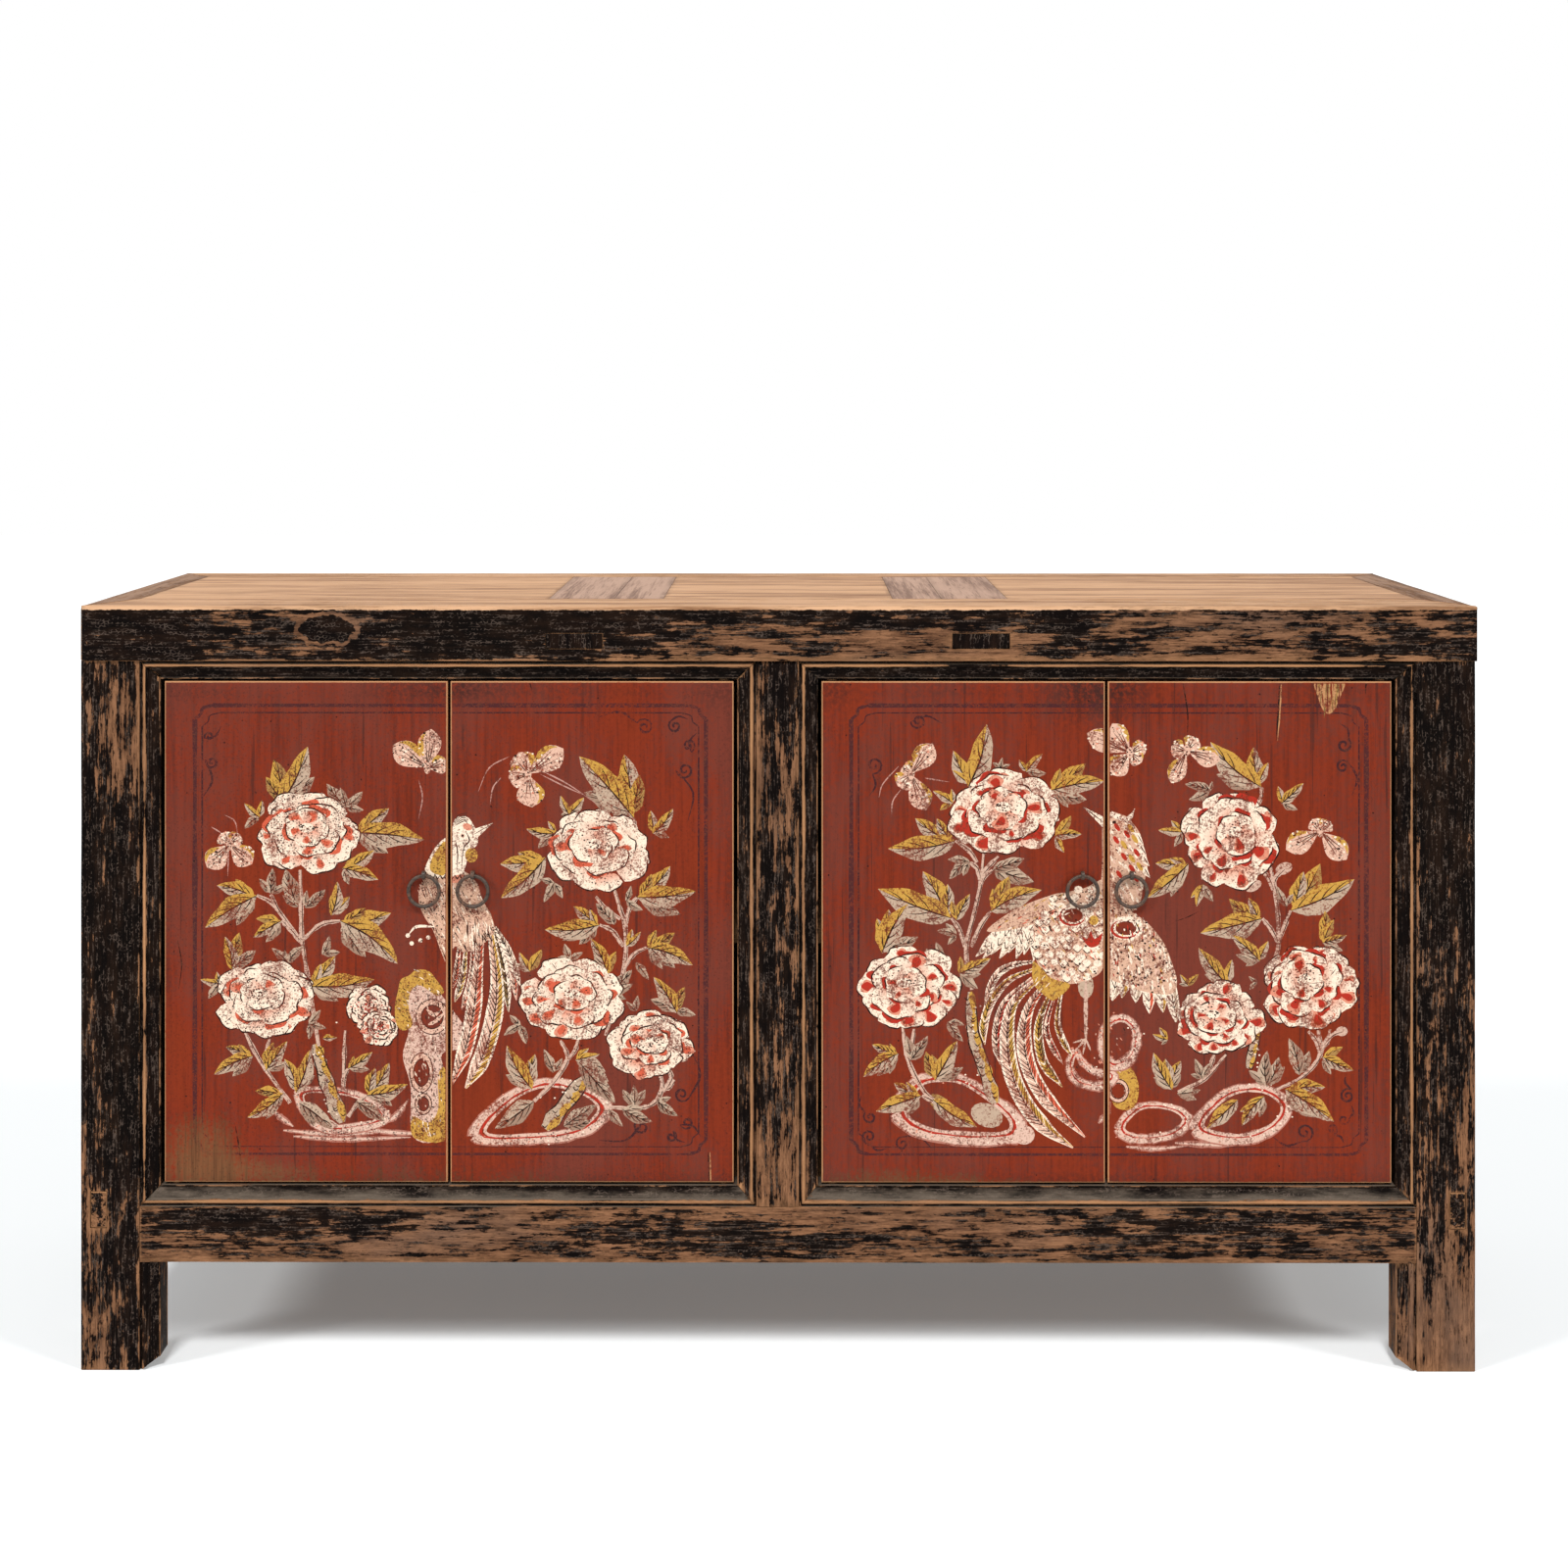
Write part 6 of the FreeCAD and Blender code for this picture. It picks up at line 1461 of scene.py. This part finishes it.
NECK_SPOTS = (
    (1141, 844), (1151, 851), (1140, 857), (1148, 874), (1161, 870), (1156, 886), (1143, 892),
    (1160, 896))
NECK_GOLD = ((1155, 845), (1159, 856), (1156, 876), (1148, 862), (1164, 884))

RIGHT_ROCK_CURLS = (
    (((1132, 1044), (1146, 1038), (1158, 1046), (1161, 1062), (1154, 1080), (1138, 1088), (1128, 1076),
      (1126, 1056)), 9),
    (((1098, 1072), (1092, 1088), (1102, 1104), (1126, 1108), (1138, 1098), (1120, 1094), (1106, 1084)),
     8))
RIGHT_ROCK_GOLD = ((1140, 1090), (1154, 1088), (1163, 1108), (1158, 1130), (1140, 1130), (1134, 1112))
RIGHT_ROCK_HOLE = ((1142, 1113), (9, 10), 5.0)
RIGHT_ROCK_BOX = ((1094, 1042), (1160, 1106))


def paint_right_pair():
    """A flying phoenix among peonies, with butterflies."""
    painting = begin_pair(23, RIGHT_BORDER, RIGHT_SCROLLS, RIGHT_SMEARS, (7.0, 2.6),
                          RIGHT_GROUNDS, RIGHT_TRUNKS)
    for centre, reach, turn, tone in RIGHT_STONES:
        painting.oval(centre, reach, tone, turn)
    painting.growth(RIGHT_STEMS, RIGHT_LEAVES, RIGHT_PEONIES, CRIMSON, CORAL_WASH, 0.95)
    paint_right_rock(painting)
    paint_phoenix(painting)
    end_pair(painting, RIGHT_BUTTERFLIES, RIGHT_SPLITS)
    painting.blob(BARE_CHIP, SPLIT_WOOD)
    painting.ticks(BARE_CHIP, 60, (0, 14), 1.5, (BARE, OCHRE_DULL, BARE, OLIVE))
    return painting


def paint_right_rock(painting):
    """The pale rock that curls up under the phoenix."""
    painting.blob(RIGHT_ROCK_GOLD, OCHRE)
    painting.pierced_ring(*RIGHT_ROCK_HOLE)
    for points, width in RIGHT_ROCK_CURLS:
        painting.ground(points, width)
    painting.ticks(box(*RIGHT_ROCK_BOX), 46, (2, 3), 1.3, (THIN_INK, CREAM_ROOT, CORAL_WASH))


def paint_phoenix(painting):
    """The flying phoenix: two fanned wings, an arched neck and long tail plumes."""
    for points, width, tone, edge in TAIL_PLUMES:
        painting.plume(points, width, tone, edge, 0.2)
    painting.oval(PHOENIX_THIGH, (8, 13), LEAF_GREY, math.pi)
    painting.stroke(PHOENIX_LEG, 4.0, STEM, end=0.7)
    for claw in PHOENIX_CLAWS:
        painting.stroke([PHOENIX_LEG[-1], claw], 2.4, STEM)
    root = np.array(LEFT_WING_ROOT, float)
    for tip in LEFT_WING_TIPS:
        bow = root + (np.array(tip) - root) * 0.5 + (-7, -9)
        painting.plume((root, bow, tip), 11, CREAM, LEAF_GREY, 0.13)
    painting.blob(PHOENIX_SHOULDER, PLUMAGE)
    painting.blob(PHOENIX_BODY, PLUMAGE)
    painting.scales(PHOENIX_BODY, 11, CREAM)
    painting.blob(TAIL_ROOT, OCHRE)
    painting.ticks(TAIL_ROOT, 40, (-4, 5), 1.2, (OCHRE_DULL, CREAM, OLIVE))
    for number, tip in enumerate(RIGHT_WING_TIPS):
        start = np.array(RIGHT_WING_ROOT) + (number * RIGHT_WING_STEP, 0)
        bow = start + (np.array(tip) - start) * 0.5 + (2, 0)
        edge = RIGHT_WING_EDGES[number % len(RIGHT_WING_EDGES)]
        painting.plume((start, bow, tip), 12, CREAM, edge, 0.13)
    painting.blob(RIGHT_WING, PLUMAGE)
    painting.ticks(RIGHT_WING, 260, (1, 7), 2.4, (CREAM, CREAM, CREAM_ROOT))
    painting.blob(PHOENIX_NECK, PLUMAGE)
    painting.ticks(PHOENIX_NECK, 120, (3, 6), 2.4, (CREAM, CREAM, CREAM_ROOT))
    for place in np.array(NECK_FEATHERS):
        painting.patch([place - (6, 6), place - (1, 6), place + (3, 6), place - (4, -2)], CREAM)
        painting.stroke([place - (3, 4), place + (2, 5)], 1.0, THIN_INK)
    painting.patch(PHOENIX_BEAK, CREAM)
    painting.stroke([PHOENIX_BEAK[0], PHOENIX_JAW], 1.0, INK)
    painting.stroke(PHOENIX_HORN, 5.0, CREAM, start=1.0)
    painting.oval(PHOENIX_EYE, (2.0, 1.8), INK, 0, 8)
    for centre, reach in np.array(WING_EYES):
        painting.oval(centre, reach * 1.5, CREAM)
        painting.oval(centre + (-1, 1), reach * 1.25, CRIMSON)
        painting.oval(centre, reach * 1.12, CREAM)
        painting.oval(centre, reach * 0.9, BARE)
    for place in NECK_SPOTS:
        painting.oval(place, (2.3, 4.8), CRIMSON, -0.6, 8)
    for place in NECK_GOLD:
        painting.oval(place, (2.4, 5.4), OCHRE, -0.6, 8)
    painting.ticks(PHOENIX_NECK, 60, (3, 3), 1.2, (THIN_INK, LEAF_GREY, INK))
    painting.ticks(PHOENIX_SHOULDER, 110, (-5, 3), 1.3, (THIN_INK, OCHRE, CREAM, CORAL, LEAF_GREY, INK))
    painting.ticks(PHOENIX_BODY, 170, (3, 4), 1.3,
                   (THIN_INK, CREAM_ROOT, CREAM, INK, CORAL_WASH, OCHRE, CORAL))
    painting.specks(PHOENIX_BODY, 70, 1.2, (INK,))
    painting.blob(PHOENIX_HEART, CRIMSON)
    painting.oval(PHOENIX_BREAST, (5, 5), OCHRE)
    painting.ticks(RIGHT_WING, 130, (1, 5), 1.7, (INK, CRIMSON, CREAM, OCHRE, THIN_INK, CREAM))
    painting.specks(RIGHT_WING, 150, 1.2, (INK,))


# Painted doors

DOORS = ("left_outer", "left_inner", "right_inner", "right_outer")
DOOR_ROUNDING = 2.5 * MM
BACK_ROUNDING = 0.8 * MM
STRAP_ROUNDING = 0.3 * MM
FITTING_CELL = 5 * MM
MAP_MARGIN = 5 * MM
RING_AROUND = 72
RING_ACROSS = 14
RING_FULLNESS = 1.16
RING_LUMPS = ((3, 0.03), (7, 0.025), (15, 0.015))

# In pixels of the photo, with rows counted upwards
FACE_GRID = 10.0
CUT_SLACK = FACE_GRID * 1e-4
RIM_SLACK = FACE_GRID * 1e-3
ROWS_UPWARDS = np.array((1, -1))


def cut_face(corner, far_corner, outlines):
    """Cuts a rectangle along the outlines on it: its places, its triangles and each one's top outline."""
    span = np.subtract(far_corner, corner)
    across, up = [np.linspace(0, reach, round(reach / FACE_GRID) + 1) for reach in span]
    rim = [(x, 0) for x in across[:-1]] + [(span[0], y) for y in up[:-1]]
    rim += [(x, span[1]) for x in across[:0:-1]] + [(0, y) for y in up[:0:-1]]
    places = rim + [(x, y) for x in across[1:-1] for y in up[1:-1]]
    faces = [list(range(len(rim)))]
    for outline in outlines:
        faces.append(list(range(len(places), len(places) + len(outline))))
        places.extend(np.subtract(outline, corner))
    cut = delaunay_2d_cdt([Vector(place) for place in places], [], faces, 1, CUT_SLACK)
    cut_places, _, cut_faces, _, _, faces_sources = cut
    flat = np.array([place[:] for place in cut_places])
    kept = [(face, sources) for face, sources in zip(cut_faces, faces_sources) if 0 in sources]
    triangles = np.array([face for face, _ in kept])
    middles = flat[triangles].mean(1) + corner
    lows = [np.min(outline, 0) for outline in outlines]
    highs = [np.max(outline, 0) for outline in outlines]
    tops = np.full(len(kept), -1)
    for here, (_, sources) in enumerate(kept):
        for source in sorted(sources, reverse=True)[:-1]:
            if (middles[here] > lows[source - 1]).all() and (middles[here] < highs[source - 1]).all():
                tops[here] = source - 1
                break
    used = np.unique(triangles)
    renumbered = np.zeros(len(flat), int)
    renumbered[used] = np.arange(len(used))
    return np.clip(flat[used], 0, span) + corner, renumbered[triangles], tops


def rim_order(places, triangles, corner, far_corner):
    """The places on a cut rectangle's rim, in order from its corner, and which way is out at each."""
    sides = {(start, end) for a, b, c in triangles.tolist() for start, end in ((a, b), (b, c), (c, a))}
    following = {start: end for start, end in sides if (end, start) not in sides}
    rim = [min(following, key=lambda place: places[place].sum())]
    while following[rim[-1]] != rim[0]:
        rim.append(following[rim[-1]])
    low = np.abs(places[rim] - corner) < RIM_SLACK
    high = np.abs(places[rim] - far_corner) < RIM_SLACK
    return np.array(rim), high.astype(int) - low.astype(int)


def shape_tones(shapes, tops, places, triangles):
    """Pigment, cover and specks at every corner of the triangles."""
    tones = np.tile(BARE.values, (len(triangles), 3, 1))
    for number, (_, pigment, far, ends) in enumerate(shapes):
        inside = tops == number
        if not inside.any():
            continue
        tones[inside] = pigment.values
        if far is None:
            continue
        run = ends[1] - ends[0]
        spots = places[triangles[inside]]
        share = np.clip((spots - ends[0]) @ run / (run @ run), 0, 1)[..., None]
        tones[inside] = pigment.values * (1 - share) + far.values * share
    return tones


def spots_at(places, spots):
    """The sum of soft spots (x, y, reach in x, reach in y, level) at these places."""
    total = np.zeros(len(places))
    for x, y, reach_x, reach_y, level in spots:
        away = ((places[:, 0] - x) / reach_x) ** 2 + ((places[:, 1] - y) / reach_y) ** 2
        total += level * np.exp(-away)
    return np.clip(total, 0, 1)


RUBBED_SPOTS = (
    (205, 1170, 62, 48, 0.85), (300, 1200, 150, 20, 0.6), (520, 1204, 100, 16, 0.5),
    (690, 1196, 60, 22, 0.4), (900, 1202, 90, 16, 0.6), (1010, 1206, 90, 12, 0.45),
    (1180, 1206, 110, 10, 0.35), (170, 960, 8, 60, 0.3))
# Spots of painted shade along the door gaps and the edges beside and under the frame, with some grime at
# the top corners
SHADE_AND_GRIME_SPOTS = (
    (430, 704, 60, 14, 0.6), (480, 702, 40, 12, 0.5), (1112, 706, 40, 26, 0.9),
    (1150, 702, 40, 14, 0.6), (852, 704, 22, 18, 0.6), (1360, 700, 60, 14, 0.4),
    (735, 704, 20, 16, 0.5), (470, 900, 6, 330, 0.3), (1129, 900, 6, 330, 0.3), (190, 704, 60, 12, 0.4),
    (450, 1214, 420, 17, 0.5), (1130, 1214, 420, 15, 0.5), (168, 960, 9, 400, 0.3),
    (752, 960, 9, 400, 0.35), (838, 960, 9, 400, 0.35), (1424, 960, 9, 400, 0.3),
    (600, 703, 100, 9, 0.4), (980, 703, 90, 9, 0.4))


def photo_place(x, z):
    """Where a point of the doors' faces lies in the photo, with rows counted upwards."""
    return np.column_stack([np.asarray(x) / PIXEL + PHOTO_MIDDLE, np.asarray(z) / PIXEL - PHOTO_FOOT])


def rim_profile(thickness):
    """Steps from the front face round the rim to the back: (out, back, arris)."""
    front = [(DOOR_ROUNDING * math.sin(turn), DOOR_ROUNDING * (1 - math.cos(turn)), 1.0)
             for turn in np.radians((30, 60, 90))]
    side = [(DOOR_ROUNDING, DOOR_ROUNDING * 1.6, 0.2), (DOOR_ROUNDING, thickness - BACK_ROUNDING, 0.3)]
    return front + side + [(DOOR_ROUNDING - BACK_ROUNDING, thickness, 0.8)]


def door_shell(places, triangles, rim, out, low, high):
    """A door round its cut front: points, how much each is an arris, where it lies laid flat, faces."""
    flat_x = (places[:, 0] - PHOTO_MIDDLE) * PIXEL
    flat_z = (places[:, 1] + PHOTO_FOOT) * PIXEL
    points = [np.column_stack([flat_x, np.full(len(places), low.y), flat_z])]
    arris = [np.zeros(len(places))]
    unfolded = [np.column_stack([flat_x - low.x, flat_z - low.z])]
    faces = triangles.tolist()
    ring = rim
    count = len(places)
    travelled = 0.0
    before = (0.0, 0.0)
    for step_out, step_back, arris_level in rim_profile(high.y - low.y):
        travelled += math.dist(before, (step_out, step_back))
        before = (step_out, step_back)
        backwards = np.full(len(rim), step_back)
        moved = np.column_stack([out[:, 0] * step_out, backwards, out[:, 1] * step_out])
        points.append(points[0][rim] + moved)
        arris.append(np.full(len(rim), arris_level))
        unfolded.append(unfolded[0][rim] + out * travelled)
        fresh = np.arange(count, count + len(rim))
        count += len(rim)
        faces += np.column_stack([ring, fresh, np.roll(fresh, -1), np.roll(ring, -1)]).tolist()
        ring = fresh
    faces.append(ring[::-1].tolist())
    return np.vstack(points), np.concatenate(arris), np.vstack(unfolded), faces


def painted_door(door, painting):
    """A plank door with its painting, rounded at the front and bare at the back."""
    node = door + "_door_boards"
    low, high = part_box(node)
    inset = DOOR_ROUNDING
    corner, far_corner = photo_place([low.x + inset, high.x - inset], [low.z + inset, high.z - inset])
    shapes = [shape for shape in painting.shapes
              if shape[0][:, 0].max() > corner[0] and shape[0][:, 0].min() < far_corner[0]]
    outlines = [shape[0] * ROWS_UPWARDS for shape in shapes]
    places, triangles, tops = cut_face(corner, far_corner, outlines)
    rim, out = rim_order(places, triangles, corner, far_corner)
    tones = shape_tones(shapes, tops, places * ROWS_UPWARDS, triangles)
    points, arris, unfolded, faces = door_shell(places, triangles, rim, out, low, high)
    mesh = bpy.data.meshes.new(door + "_painted_boards")
    mesh.from_pydata(points, [], faces)
    colours = np.ones((len(mesh.loops), 4))
    colours[:triangles.size, :3] = tones[..., :3].reshape(-1, 3)
    levels = np.zeros((len(mesh.loops), 2))
    levels[:triangles.size] = tones[..., 3:].reshape(-1, 2)
    put_attribute(mesh, "pigment", "FLOAT_COLOR", "CORNER", colours)
    put_attribute(mesh, "cover", "FLOAT", "CORNER", levels[:, 0])
    put_attribute(mesh, "specks", "FLOAT", "CORNER", levels[:, 1])
    seen = photo_place(points[:, 0], points[:, 2]) * ROWS_UPWARDS
    # The second set of spots is mostly painted shade at the doors' edges and gaps, with some grime
    worn, grime_and_shade = spots_at(seen, RUBBED_SPOTS), spots_at(seen, SHADE_AND_GRIME_SPOTS)
    put_levels(mesh, {"arris": arris, "worn": worn, "grime_and_shade": grime_and_shade})
    put_shift(mesh, door)
    lay_flat(mesh, unfolded)
    mesh.materials.append(DOOR_PAINT)
    mesh.materials.append(INNER[Z])
    mesh.polygons[-1].material_index = 1
    shade_smooth(mesh)
    stand_for(bpy.data.objects.new(door + "_painted_boards", mesh), node, "red_paint")


def lay_flat(mesh, unfolded):
    """A map of the door laid flat: its front and rim on the left half, its back on the right."""
    low, high = unfolded.min(0) - MAP_MARGIN, unfolded.max(0) + MAP_MARGIN
    flat = (unfolded - low) / (high - low) * (0.5, 1.0)
    loops = np.zeros(len(mesh.loops), int)
    mesh.loops.foreach_get("vertex_index", loops)
    places = flat[loops]
    places[mesh.polygons[-1].loop_start:] += (0.5, 0.0)
    layer = mesh.uv_layers.new(name="OFBake")
    layer.data.foreach_set("uv", places.astype(np.float32).ravel())


def make_doors():
    left, right = paint_left_pair(), paint_right_pair()
    for door, painting in zip(DOORS, (left, left, right, right)):
        painted_door(door, painting)
        fine = [FITTING_CELL] * 3
        make_boards([door + "_door_battens"], X, INNER, "inner_wood", BOARD_ROUNDING, NO_WEAR)
        worn_copy(door + "_door_pivots", INNER[Z], "inner_wood", FINE_ROUNDING, fine, NO_WEAR)
        worn_copy(door + "_strap_eye", IRON, "iron", STRAP_ROUNDING, fine, NO_WEAR)
        ring_pull(door)


def ring_pull(door):
    """A hand-forged ring, a little uneven along its wire."""
    node = door + "_ring"
    low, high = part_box(node)
    middle = (low + high) / 2
    wire = (high.y - low.y) / 2
    radius = (high.x - low.x) / 2 - wire
    chance = np.random.default_rng(ord(door[0]) + len(door))
    phases = chance.uniform(0, ANY_TURN, len(RING_LUMPS))
    turn = np.linspace(0, 2 * math.pi, RING_AROUND, endpoint=False)
    lumps = np.full(RING_AROUND, RING_FULLNESS)
    for (waves, height), phase in zip(RING_LUMPS, phases):
        lumps += height * np.sin(waves * turn + phase)
    points, faces = [], []
    for here, (angle, lump) in enumerate(zip(turn, lumps)):
        start, following = here * RING_ACROSS, (here + 1) % RING_AROUND * RING_ACROSS
        for there in range(RING_ACROSS):
            tilt = 2 * math.pi * there / RING_ACROSS
            reach = radius + wire * lump * math.cos(tilt)
            points.append((middle.x + reach * math.sin(angle), middle.y + wire * lump * math.sin(tilt),
                           middle.z + reach * math.cos(angle)))
            beside = (there + 1) % RING_ACROSS
            faces.append((start + there, following + there, following + beside, start + beside))
    mesh = bpy.data.meshes.new(door + "_forged_ring")
    mesh.from_pydata(points, [], faces)
    put_shift(mesh, node)
    mesh.polygons.foreach_set("use_smooth", [True] * len(faces))
    mesh.materials.append(IRON)
    stand_for(bpy.data.objects.new(door + "_forged_ring", mesh), node, "iron")


# Floor, light and camera

FLOOR_REACH = 14.0
FLOOR_COLOUR = screen(239, 242, 243)
FLOOR_GLOW = 0.12
SOFT_LIGHT = 0.26
WHITE = (1, 1, 1, 1)
BLACK = (0, 0, 0, 1)
SEEN_RAYS = ("Is Camera Ray", "Is Glossy Ray", "Is Transmission Ray")


def seen_directly(nodes):
    """1 for the rays that look at a surface, 0 for those that light it."""
    camera, glossy, transmitted = [nodes.node("LightPath", {}, {}, name) for name in SEEN_RAYS]
    return camera + glossy + transmitted


def make_floor():
    """A plain white floor that keeps the shadow and meets the white behind it unseen."""
    corners = [(x * FLOOR_REACH, y * FLOOR_REACH, 0) for x, y in ((-1, -1), (1, -1), (1, 1), (-1, 1))]
    mesh = bpy.data.meshes.new("floor")
    mesh.from_pydata(corners, [], [(0, 1, 2, 3)])
    material, nodes = new_finish("floor")
    diffuse = nodes.node("BsdfDiffuse", {}, {"Color": FLOOR_COLOUR})
    glow = nodes.node("Emission", {}, {"Color": WHITE, "Strength": FLOOR_GLOW})
    dark = nodes.node("Emission", {}, {"Color": BLACK, "Strength": 0.0})
    lift = nodes.node("MixShader", {}, {0: seen_directly(nodes), 1: dark, 2: glow})
    both = nodes.node("AddShader", {}, {0: diffuse, 1: lift})
    nodes.node("OutputMaterial", {}, {"Surface": both})
    mesh.materials.append(material)
    floor = bpy.data.objects.new("floor", mesh)
    bpy.context.scene.collection.objects.link(floor)


def make_world():
    """Soft light from all round, white where it is looked at."""
    world = bpy.data.worlds.new("studio")
    world.use_nodes = True
    bpy.context.scene.world = world
    nodes = Nodes(world.node_tree)
    soft = nodes.node("Background", {}, {"Color": WHITE, "Strength": SOFT_LIGHT})
    white = nodes.node("Background", {}, {"Color": WHITE, "Strength": 1.0})
    mixed = nodes.node("MixShader", {}, {0: seen_directly(nodes), 1: soft, 2: white})
    nodes.node("OutputWorld", {}, {"Surface": mixed})


SUN_SPREAD = math.radians(12)
SUNS = (("key", -6, 54, 1.95), ("left_side", -60, 30, 1.45), ("right_side", 60, 30, 1.35))


def make_sun(name, azimuth, elevation, strength):
    """A soft lamp that shines from this azimuth, 0 at the front and 90 at the right, and elevation."""
    lamp = bpy.data.lights.new(name, "SUN")
    lamp.energy = strength
    lamp.angle = SUN_SPREAD
    sun = bpy.data.objects.new(name, lamp)
    sun.rotation_euler = (math.radians(90 - elevation), 0, math.radians(azimuth))
    bpy.context.scene.collection.objects.link(sun)


CAMERA_PLACE = (0.0144, -2.7607, 1.128)
CAMERA_YAW = math.radians(0.158)
CAMERA_LENS = 50.79
CAMERA_SHIFT = -0.2532
CAMERA_SENSOR = 36.0


def make_camera():
    lens = bpy.data.cameras.new("camera")
    lens.lens = CAMERA_LENS
    lens.sensor_width = CAMERA_SENSOR
    lens.sensor_fit = "HORIZONTAL"
    lens.shift_y = CAMERA_SHIFT
    camera = bpy.data.objects.new("camera", lens)
    camera.location = CAMERA_PLACE
    camera.rotation_euler = (math.radians(90), 0, CAMERA_YAW)
    bpy.context.scene.collection.objects.link(camera)
    bpy.context.scene.camera = camera


make_case()
make_inside()
make_top()
make_doors()
make_floor()
make_world()
for sun in SUNS:
    make_sun(*sun)
make_camera()
bpy.context.scene.view_settings.view_transform = "Standard"
